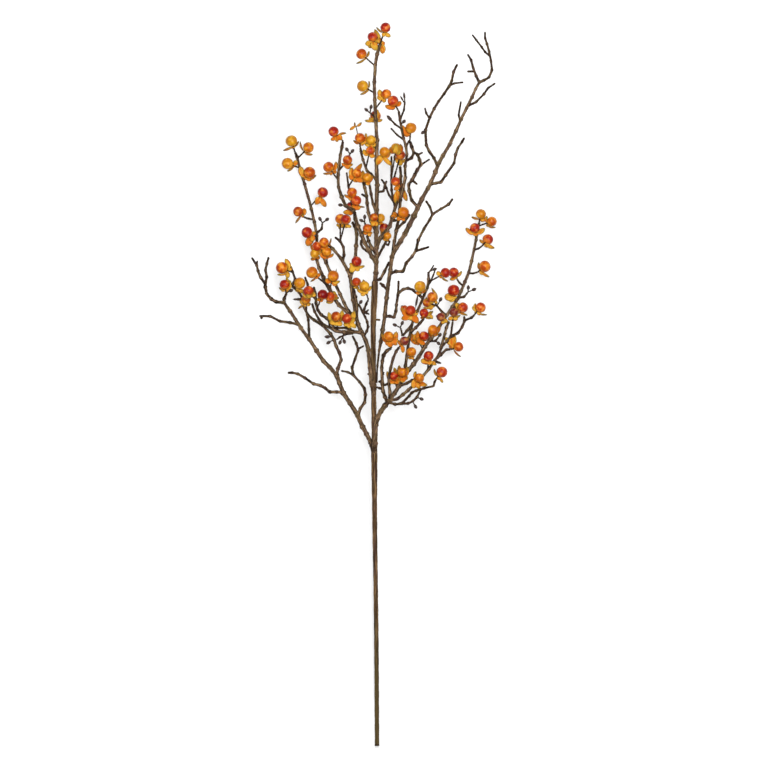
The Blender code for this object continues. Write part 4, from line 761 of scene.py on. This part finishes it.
rightBerrySpray = {"foot": 29.1344, "footShadeAt": 10.5, "lead": (
    (374.5, 457, -6.2, 0.9), (374.6, 453, -4.8, 1.4), (374.7, 449.5, -2.6, 1.9), (374.8, 446, -0.8, 2.2),
), "twigs": [
    (2.3, 2.2, 3.4, (375, 443.2), (0.8, -18.2), (1.8, -7), (3.4, -6.5), (4, -6), (4, -4.5)),
    (1.9, 0.8, -24, (389, 401), (5.5, -8), (4.5, -7), (5, -8.5), (5, -8), (4.5, -5.5), (5.5, -7.5), (6, -10),
     (6, -8), (7, -9.5), (5, -8), (4, -6), (5.5, -8), (4.5, -7), (4, -8.5), (4, -9.5), (3.7, -9.5),
     (2.8, -11.5), (2.5, -11), (2, -10), (3.3, -18)),
    (1.4, 1.1, 12, (387.5, 402.7), (-2.2, -5.7), (-2, -6), (-1, -7), (-0.8, -16), (0.7, -7), (1.1, -5.5),
     (3.2, -4.5), (5, -3.2)),
    (1.2, 1, 8, (389.5, 400.5), (0.3, -8.5), (-1, -8), (0, -7), (1.8, -9), (2.4, -9.5), (3, -7), (3.3, -4.5)),
    (1.3, 0.9, -6, (389.5, 400.5), (7.5, -1.5), (6, -4.7), (5, -4), (13, -12.3), (8, -9), (6, -8.5),
     (4.5, -6.5), (1.8, -6.5), (3.7, -13.5), (1.5, -6.5), (2.5, -6.5)),
    (1, 0.7, -4, (437, 358), (4, -3.5), (5, -5), (5, -0.2)),
    (0.8, 0.6, -3, (441.5, 347), (5.5, -6), (4, -5), (1.8, -15)),
    (1, 0.7, -10, (388, 402), (7, 2.5), (6, -1), (7, 0), (5, -2.5), (4, -4), (4, -8)),
    (0.9, 0.6, 4, (402, 403.5), (7, -7.5), (2.5, -3.5), (4.5, -2), (8, -2.5), (9.7, -2), (0.8, -4.5),
     (1.8, -2.5)),
    (0.8, 1, 2, (401.5, 385.2), (5.5, -2), (6.5, -4)),
    (1.3, 0.8, 8, (404.5, 377), (0.8, -11), (1.5, -10), (2.7, -19), (1.5, -9), (3, -10), (3.5, -7),
     (6.5, -15.5), (3.3, -8), (1.3, -8.5), (-0.1, -7.5)),
    (0.9, 0.8, 3, (412, 324.5), (-5, 6), (-4.5, 5.5)),
    (1, 0.9, 1, (411.3, 333), (4.7, -5.3), (4, -4.4), (4, -5)),
    (0.8, 0.6, 0.5, (423.3, 298.5), (-3.3, -2.3), (-2.2, -1.7)),
    (0.35, 0.3, 1, (428.5, 273), (2.5, -3), (3, -5.2)),
    (0.6, 0.3, 2, (427.6, 286.5), (2.9, -5), (2.5, -5.5), (2, -5.5)),
    (1, 0.8, -2, (451, 336.5), (7, -3.5), (4.3, -6), (2.5, -6.3), (-0.8, -4.7)),
    (0.7, 0.6, 1, (464.8, 320.7), (7, -3), (2.7, -3.2)),
    (0.8, 0.6, 2, (458.5, 297.5), (5.5, -0.5), (4, -5)),
    (0.5, 0.5, 0.3, (468.5, 273), (4.5, 0.4), (5, -1.4)),
    (0.5, 0.5, 0.2, (474.2, 250), (4.3, -1.6), (3.5, -2.4)),
    (0.5, 0.5, 0.3, (463.7, 286), (-4.1, -3.2), (-2.6, -3.8)),
    (0.7, 0.5, 3, (429, 341.2), (6.5, -0.2), (3, -4)),
    (0.6, 0.5, 1, (402.5, 336), (-2.2, -8.5)),
    (0.9, 0.6, 4, (446.5, 315.8), (-5, -4.3), (-4.5, -5.5)),
    (0.7, 0.6, 0.5, (383, 389.5), (-3.5, -1.5), (-3.5, -1)),
    (0.6, 0.5, 0.5, (382.5, 381), (-2.5, 0.5), (-2, 0.5)),
    (0.6, 0.5, 0.5, (384.5, 373.5), (-1.5, 0.5), (-2.2, 0.2)),
    (0.6, 0.5, 0.5, (388.5, 383.5), (-2.5, 1.1), (-2, 1.4)),
    (0.7, 0.5, 1, (434.5, 361), (3.5, 1.5), (3.5, 0.8)),
], "berries": [
    (487.8, 239.5, 5.4, 0, -5.8, 6.5, "red", (-8.3, 0, 1.4), (6.9, 8.5, 1.8), (-4.3, 5.5, 2), (1.2, 7, 2)),
    (442, 372, 5.6, 2, -5.7, 7, "coral", (-7.8, -3.2, 1.2), (1, 10.8, 1.4), (-5, 4.5, 2), (-2, 8, 1.8)),
    (428.5, 356, 5.1, 5, -1.5, 14, "red", (-7.7, 4.5, 2.6), (-4.5, 8, 2.4), (3.5, 8, 2.6), (8, 9, 1.8)),
    (458.6, 346.8, 4.9, 1, -7.6, 2.5, "orange", (-9.1, -3.3, 3), (-14.1, -9.3, 2.6), (-4.6, -12.3, 3.8),
     (2.6, 10.2, 0.9)),
    (419.5, 378, 4.8, 3, -6, 1.2, "amber", (-3.5, -6.5, 1.6), (-6.7, 10.3, 3), (7.8, 7.3, 2.4),
     (0.5, 10.3, 2.6)),
    (394, 376, 4.8, 3, 3, 13, "red", (-7, -5, 2.2, 3), (0, -8.5, 2.4), (-1.5, 7.8, 2.6), (5.5, 6.5, 2.6, 3),
     (-6.2, 3.5, 2.6, 3), (4.8, 1, 2.2, 5)),
    (402, 372.5, 4.8, 7, 1, 6.5, "amber", (1, 10, 2.8, 2), (5, -5.5, 2.4, 2), (-3, -7, 2, 2),
     (5.8, 5, 2.4, 3), (-5.5, -2, 2.2, 4)),
    (411.3, 352, 5, 4, 3.2, 10.5, "amber", (0.2, 7, 2), (-3.3, 6, 1.6)),
    (388.5, 336.5, 5.4, 3, 3, 11.3, "amber", (8, -5, 2.8), (9.5, 2, 3), (2.5, 11, 3), (-3.5, 7, 2.4),
     (8.8, 8.5, 2), (-7, -3.5, 1.6)),
    (404.3, 341, 4.6, 2, -5, 6, "brown", (-1.6, 12, 2), (-4.3, 5.5, 2), (-5.8, -1, 1.6), (4.7, -5, 1.6)),
    (417, 337.5, 4.4, 1, 6, 12.5, "honey", (-5.5, -4.5, 2.6), (-5, 2.5, 2.4), (-1, 7, 2.2)),
    (424, 336, 4.8, 5, -1, 14, "red", (-6.5, -5, 2.6, 3), (-7.5, 2.5, 2.6, 3), (-3, 9, 2.8, 2), (4.5, -5, 1)),
    (433, 330, 5.3, 6, 0, 6, "amber", (7, -4.5, 2), (5, 2.5, 2.2), (-4, 5.5, 1.4)),
    (410.5, 310.5, 5.2, 4, 2, 11.5, "coral", (-8.5, -2.5, 2.6, 3), (-9, 8, 2.6, 3), (7.2, 13, 3, 2),
     (7.5, -0.5, 2.2), (0, 10, 2.6, 2)),
    (404.3, 309.2, 4, 2, 8.2, 12.8, "rust", (-2.3, -3.2, 1.6), (-1.3, 5.8, 2)),
    (424, 313, 4.5, 4, -0.2, 5.5, "red", (-3.5, 5, 1.2), (7, 5.7, 1.2), (7, -2, 1.6)),
    (432, 297, 5.1, 3, 4.8, 9, "orange", (5, 7, 1.6), (-6, -0.5, 1.4), (-0.5, -9.2, 1.5)),
    (427, 302.5, 4.6, -2, 10, 3.5, "rust", (-4, 5.3, 1.8), (3, 7.5, 2.4), (8, 4.3, 1.6)),
    (453.6, 290.5, 5.9, 5, 1.4, 12.5, "red", (-9.1, 6, 3.6), (-3.1, 11.8, 3), (2.4, 8, 2)),
    (463, 307.5, 5.2, 2, -10.3, -0.5, "coral", (-7.2, -0.5, 2.8, 1.5), (-5, -4.5, 2.4, 2), (4.8, 7.8, 1.4),
     (-3, 6, 2)),
    (480.7, 307.5, 5.2, 1, -6.2, 7, "flame", (-8.4, -1, 1.4), (-5.2, -4.3, 1.8), (6.8, 7.2, 0.9),
     (0.8, 6.5, 1.8), (-5.7, 3, 2)),
    (454, 312.3, 4.6, 1, -1.2, 8.7, "brown", (-1.5, 8.7, 2.6), (-5.3, 8.2, 2), (3, 8.2, 2.4),
     (6.5, 2.7, 1.2)),
    (441, 317, 4.4, 7, 2, 4, "brown", (-4.5, -1.5, 1), (2.5, 7, 2), (7, 5, 2)),
    (445.5, 272.8, 5.1, 1, -14.5, 8.2, "red", (-9.2, -0.5, 2.2), (2.8, 8.5, 1), (-4.5, 5.7, 1.6)),
    (453.7, 272.5, 5.1, 1, 3.3, 6.5, "red", (8.1, -1.5, 1.4), (-3.7, 6.8, 1.8), (3.8, 5, 1.6)),
    (484.8, 266.4, 5.8, 3, -6.8, 5.6, "orange", (4.7, 10.6, 1.4), (-0.8, 7.9, 2.2), (-5.8, -4.4, 1.2)),
    (481, 214, 5.1, 1, -1.7, 8, "honey", (-9.8, 2.8, 1.2), (-2, 6, 2), (6.5, 4, 2), (3, 6, 2)),
    (492, 221.5, 4.9, 1, -13.5, 4.5, "orange", (-5, -5.7, 1.4), (3.8, 6, 1.2), (-3, 5, 1.6)),
    (474.8, 228, 5, 4, 1.2, 12, "red", (-9, -0.2, 2.2), (9.9, 0.3, 2.4), (1.2, 8.3, 2.4)),
], "buds": [
    (415.5, 406.5, -3, -5.2), (421.5, 399, -4.7, -1.8), (434.7, 269.3, -4.7, 1.7), (468.3, 287.5, -0.3, 4.5),
    (474, 289.5, -6, 2.5), (439.8, 335, -1.3, 2), (438.5, 343.3, -3, -2.3), (402.3, 323, -2, 4.5),
    (394.8, 325, 5.5, 2.5), (440.5, 299.5, -3.5, 6.5), (416.7, 301.2, 1, -6.4, -1.2, 1.2, 4.4),
], "husks": [
    (429, 313.5, -2, -2.5, 2, (3.5, 5.8, 1.6), (-3.5, 3, 1.4), (4, -2.5, 1.2)),
]}

resting = {(291.5, 141), (487.8, 239.5)}  # berries that lie on the surface


# finishes
barkTone = {
    "stem": {"base": (0.104, 0.057, 0.025), "light": (0.205, 0.120, 0.055),
             "dark": (0.0230, 0.0112, 0.0046), "streak": 0.035, "patch": 0.14, "olive": 0.35},
    "twig": {"base": (0.0740, 0.0390, 0.0192), "light": (0.205, 0.128, 0.068),
             "dark": (0.0055, 0.0032, 0.0019), "streak": 0.10, "patch": 0.45, "olive": 0.5},
    # a smaller streak or patch draws them out lengthwise; olive is how much of it shows
    "olive": (0.0760, 0.0560, 0.0230),
    "moss": (0.0590, 0.0425, 0.0135),
    "plum": (0.0651, 0.0335, 0.0270),
    "tip": (0.0150, 0.0080, 0.0052),
    # painted shade in the crevices at the joints, also used for the cut end's own dark colour
    "shadeAndCutEnd": (0.0200, 0.0085, 0.0042),
}
berryTone = {
    "shade": (0.62, 0.30, 0.45),   # the skin's own colour is multiplied by it
    "warm": (0.62, 0.31, 0.04),
    "foot": (0.53, 0.24, 0.02),
    "scar": (0.05, 0.018, 0.01),
}
huskTone = {
    "gold": (0.392, 0.186, 0.0095),
    "pale": (0.500, 0.300, 0.040),
    "blush": (0.380, 0.078, 0.0030),
    "green": (0.124, 0.108, 0.0136),
    "dry": (0.0434, 0.0285, 0.0136),
}
budTone = {"dark": (0.028, 0.017, 0.015), "light": (0.084, 0.053, 0.038), "gap": (0.019, 0.011, 0.010)}


def barkFinish(name, tone, ages):
    f = Finish(name)
    streaky, patchy = (f.vector("MULTIPLY", f.attribute("grain"), (1.0, 1.0, tone[pull]))
                       for pull in ("streak", "patch"))
    streaks, fine = f.noise(streaky, 0.95, 4.0, 0.62), f.noise(streaky, 3.2, 3.0, 0.6)
    patches, flecks = f.noise(patchy, 0.28, 3.0, 0.55), f.noise(patchy, 1.3, 2.0, 0.5)
    colour = f.mix(f.limits(streaks * 0.8 + fine * 0.2, 0.46, 0.54), tone["dark"], tone["base"])
    colour = f.over(colour, tone["light"], streaks * 0.75 + fine * 0.25, 0.52, 0.59)
    if ages:
        worn = f.limits(f.tint("Red"), 0.35, 1.0, 0.0, 0.45) * f.limits(fine, 0.4, 0.6)
        colour = f.mix(worn, colour, tone["light"])
    colour = f.over(colour, barkTone["olive"], patches, 0.54, 0.66, tone["olive"])
    colour = f.over(colour, barkTone["plum"], patches, 0.47, 0.36, 0.55)
    colour = f.over(colour, tone["dark"], flecks, 0.62, 0.70, 0.7)
    if not ages:
        colour = f.over(colour, barkTone["moss"], f.tint("Green"), 0.5, 1.0, 0.8)
    # painted shade at the joints and where sprays leave the stem, with the cut end's own darker colour,
    # fainter on the palest streaks
    colour = f.mix(f.tint("Blue") * f.limits(streaks, 0.62, 0.45, 0.55, 1.0), colour, barkTone["shadeAndCutEnd"])
    if ages:
        colour = f.over(colour, barkTone["tip"], f.tint("Red"), 0.52, 0.0, 0.74)
    f.set(Base_Color=colour, Roughness=f.limits(fine, 0.3, 0.7, 0.60, 0.85), Specular_IOR_Level=0.07,
          Normal=f.bump(f.limits(flecks, 0.55, 0.75), 0.0002, 0.5,
                        f.bump(streaks * 0.7 + fine * 0.3, 0.0005, 0.9)))
    return f.material


def berryFinish():
    f = Finish("berrySkin")
    grain, skin, own = f.attribute("grain"), f.attribute("tint", "Color"), f.attribute("tint", "Alpha")
    rise = f.along(grain, "Z")
    shifted = f.vector("ADD", grain, f.node("ShaderNodeCombineXYZ", None, {"X": own * 31.0, "Y": own * 17.0}))
    cloud, speck = f.noise(shifted, 1.1, 2.0, 0.5), f.noise(shifted, 9.0, 2.0, 0.6)
    shade = f.mix(1.0, skin, berryTone["shade"], "MULTIPLY")
    yellow = f.limits(f.tint("Green"), 0.12, 0.20)
    colour = f.mix(f.limits(cloud, 0.42, 0.62, yellow * 0.45, 1.0), shade, skin)
    colour = f.over(colour, f.mix(0.42, skin, berryTone["warm"]), cloud, 0.52, 0.68, 0.8)
    colour = f.over(colour, f.mix(0.5, skin, berryTone["foot"]), rise, -0.25, -0.95, 0.75)
    colour = f.over(colour, shade, speck, 0.66, 0.74, 0.35)
    colour = f.over(colour, berryTone["scar"], rise, 0.955, 0.985, 0.9)
    f.set(Base_Color=colour, Roughness=f.limits(speck, 0.3, 0.7, 0.34, 0.46), Specular_IOR_Level=0.14,
          Coat_Weight=0.05, Coat_Roughness=0.22, Normal=f.bump(cloud * 0.7 + speck * 0.06, 0.0006, 0.35))
    return f.material


def huskFinish():
    f = Finish("huskPaper")
    grain, own, broad = f.attribute("grain"), f.tint("Red"), f.tint("Green")
    out = f.along(grain, "Y")
    across = f.node("ShaderNodeMath", {"operation": "ABSOLUTE"}, {0: f.along(grain, "X")})
    veins = f.noise(f.vector("MULTIPLY", grain, (3.2, 0.9, 3.0)), 2.6, 4.0, 0.6)
    cloud = f.noise(grain, 1.9, 2.0, 0.5)
    green, dry = huskTone["green"], huskTone["dry"]
    colour = f.mix(f.limits(veins, 0.40, 0.64), huskTone["gold"], huskTone["pale"])
    colour = f.over(colour, huskTone["blush"], cloud + own * 0.28, 0.53, 0.72, 0.9)
    outer = out - broad * 0.2  # 1 near the tip, less on broad petals
    colour = f.over(colour, green, outer + veins * 0.3, 0.66, 1.00, 0.75)
    colour = f.over(colour, dry, outer + cloud * 0.2, 0.86, 1.02, 0.85)
    colour = f.over(colour, green, out, 0.16, 0.0, 0.6)
    colour = f.over(colour, dry, broad + veins * 0.1, 0.62, 0.42, 0.62)  # narrow petals have dried up
    colour = f.over(colour, dry, across + cloud * 0.14, 0.84, 1.02, 0.8)
    f.set(Base_Color=colour, Roughness=f.limits(veins, 0.3, 0.7, 0.50, 0.70), Specular_IOR_Level=0.07,
          Normal=f.bump(veins, 0.0004, 0.6))
    return f.material


def budFinish():
    f = Finish("budSkin")
    grain = f.attribute("grain")
    cloud = f.noise(grain, 2.2, 3.0, 0.6)
    scales = f.node("ShaderNodeTexVoronoi", {"feature": "F1"}, {"Vector": grain, "Scale": 2.4}, "Distance")
    colour = f.mix(f.limits(cloud, 0.38, 0.62), budTone["dark"], budTone["light"])
    f.set(Base_Color=f.over(colour, budTone["gap"], scales, 0.30, 0.55, 0.6), Roughness=0.55,
          Specular_IOR_Level=0.12, Normal=f.bump(cloud * 0.4 - scales, 0.0004, 0.6))
    return f.material


twigBark = barkFinish("twigBark", barkTone["twig"], True)
stemBark = barkFinish("stemBark", barkTone["stem"], False)
berrySkin, huskPaper, budSkin = berryFinish(), huskFinish(), budFinish()
print("finishes made")


def grow(name, node, plan):
    spray = Spray(plan)
    for row in plan["twigs"]:
        spray.twig(*row)
    for row in plan["berries"]:
        addBerry(spray, *row, rests=row[:2] in resting)
    for row in plan["buds"]:
        addBud(spray, *row)
    for row in plan.get("husks", ()):
        addHusk(spray, *row)
    for bulk, label, finish in ((spray.twigs, "Twigs", twigBark), (spray.skins, "Berries", berrySkin),
                                (spray.husks, "Husks", huskPaper), (spray.buds, "Buds", budSkin)):
        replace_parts(bulk.make(name + label, finish, "spray"), node)
    print(name, "grown:", spray.twigs.count, "twig points,", len(plan["berries"]), "berries")


for name, node, plan in (("centre", "centre_spray", centreSpray),
                         ("leftBerry", "left_berry_spray", leftBerrySpray),
                         ("leftLow", "left_low_spray", leftLowSpray),
                         ("rightTall", "right_tall_spray", rightTallSpray),
                         ("rightBerry", "right_berry_spray", rightBerrySpray)):
    grow(name, node, plan)


# the straight stem with its wrapped joints
stemPlan = {
    "cutRadius": 2.2,
    "cutEdge": 0.94,      # the cut end is this much narrower than the bark beside it
    "level": 728,         # from here down to the cut the stem lies level
    "rise": 0.077,        # mm for each mm along, from there up
    "route": [(377, 746, 2.2), (376.9, 728, 2.2), (376.3, 640, 2.3), (375.5, 580, 2.3), (374.8, 540, 2.45),
              (374.4, 500, 2.6), (374.3, 478, 3), (374.1, 452, 3.2), (374.1, 444.8, 3.2), (374.1, 444, 2.6),
              (373.5, 390.8, 2.6), (373.5, 390, 3), (373.5, 384.6, 3), (373.5, 383.8, 2.6),
              (373.5, 368, 2.45), (373.2, 346, 2.5), (373.1, 328, 2.7), (373.5, 310, 3), (374.2, 299, 3.2),
              (374.8, 281.6, 3.1), (374.9, 280.9, 2.5)],
    "shadeAndCutBands": [(449.5, 1.1, 0.9), (388.3, 0.9, 0.8), (352.5, 0.8, 0.7), (291, 9, 0.75), (746, 2.2, 0.9),
              (417.5, 1.4, 0.6), (440, 8, 0.55)],  # a place, half its length and its depth of colour: painted shade in the crevices at the joints, and at 746 the cut end's own dark colour
    "mossy": (600, 690),  # over this stretch the bark turns greener toward the cut
    "stubs": [(374, 320, 380.4), (373.5, 374.2, 367.2)],  # where each starts, its place along, where it ends
    "stubRadius": 1.05,
    "step": 0.8,
    "around": 28,
    "ridge": 0.045,
    "lay": 0.0008,
}


def stemHeight(y):
    # an eight-sided rod of this radius would lie on one of its flats
    level = stemPlan["cutRadius"] * math.cos(math.pi / 8)
    return level + max(0.0, stemPlan["level"] - y) * stemPlan["rise"]


def buildStem():
    stem = Bulk()
    even, s, bends = resample([place(x, y, stemHeight(y)) for x, y, _ in stemPlan["route"]], stemPlan["step"])
    radius = np.interp(s, bends, [r for _, _, r in stemPlan["route"]])
    radius[0] *= stemPlan["cutEdge"]
    rings, grain = ringsAlong(even, radius, stemPlan["around"], stemPlan["ridge"], 0.4, stemPlan["lay"])
    rings[..., 2] = np.maximum(rings[..., 2], 0.0)
    down = sheetMiddle[1] - even[:, 1]
    # painted shade at the joints, with the cut end's own dark colour
    dark = np.max([depth * np.exp(-((down - at) / half) ** 4) for at, half, depth in stemPlan["shadeAndCutBands"]], 0)
    flat = np.ones(len(dark))
    old = np.interp(down, stemPlan["mossy"], (0.5, 1.0))
    stem.tube(rings, grain, np.stack((flat, old, dark, flat), 1)[:, None])
    for start, y, end in stemPlan["stubs"]:
        path, s, _ = resample([place(x, y - drop, stemHeight(y))
                               for x, drop in ((start, 0), ((start + end) / 2, 0.4), (end, 0))], 0.6)
        thick = rounded(np.full(len(path), stemPlan["stubRadius"]), s, 0.7)
        stem.tube(*ringsAlong(path, thick, 12, 0.06, y), (0.4, 0.5, 0.0, 1.0))
    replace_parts(stem.make("mainStem", stemBark, "stem_bark"), "main_stem")


buildStem()
print("stem built")


# floor, light and camera
studio = {
    "floor": 9.0,             # m from the middle to each side
    "floorHeight": -0.0004,
    "backdrop": (-5.0, 1.5),  # m, the heights from and to which pale walls stand at its edges
    "floorTone": (0.36, 0.36, 0.36),
    "floorGlow": 0.58,
    "lamps": {"key": {"at": (0.25, 0.30, 1.6), "size": 1.1, "power": 50.0},
              "side": {"at": (-0.9, 0.5, 1.2), "size": 0.35, "power": 7.0}},
    "room": 0.06,
    "view": {"centre": (0.01039, -0.00008), "height": 1.2, "wide": 0.768},
}


def buildFloor():
    f = Finish("paleFloor")
    f.set(Base_Color=studio["floorTone"], Roughness=0.95, Specular_IOR_Level=0.0,
          Emission_Color=(1.0, 1.0, 1.0), Emission_Strength=studio["floorGlow"])
    half, (foot, top) = studio["floor"], studio["backdrop"]
    corners = ((-half, -half), (half, -half), (half, half), (-half, half))
    walls = [(k, (k + 1) % 4, 4 + (k + 1) % 4, 4 + k) for k in range(4)]
    mesh = bpy.data.meshes.new("floor")
    mesh.from_pydata([(*corner, z) for z in (foot, studio["floorHeight"], top) for corner in corners], [],
                     [(4, 5, 6, 7)] + walls + [tuple(4 + k for k in wall) for wall in walls])
    mesh.materials.append(f.material)
    floor = linked("floor", mesh)


def buildStudio():
    for name, plan in studio["lamps"].items():
        lamp = bpy.data.lights.new(name, "AREA")
        lamp.size, lamp.energy = plan["size"], plan["power"]
        made = linked(name, lamp)
        made.location = plan["at"]
        made.rotation_euler = (-Vector(plan["at"])).to_track_quat("-Z", "Y").to_euler()
    scene, world = bpy.context.scene, bpy.data.worlds.new("room")
    world.use_nodes = True
    sky = world.node_tree.nodes["Background"].inputs
    sky["Color"].default_value, sky["Strength"].default_value = (1, 1, 1, 1), studio["room"]
    lens = bpy.data.cameras.new("camera")
    lens.type, lens.ortho_scale = "ORTHO", studio["view"]["wide"]
    lens.clip_start, lens.clip_end = 0.01, 10.0
    camera = linked("camera", lens)
    camera.location = (*studio["view"]["centre"], studio["view"]["height"])
    scene.world, scene.camera = world, camera
    scene.view_settings.view_transform = "Standard"


buildFloor()
buildStudio()
print("studio set")
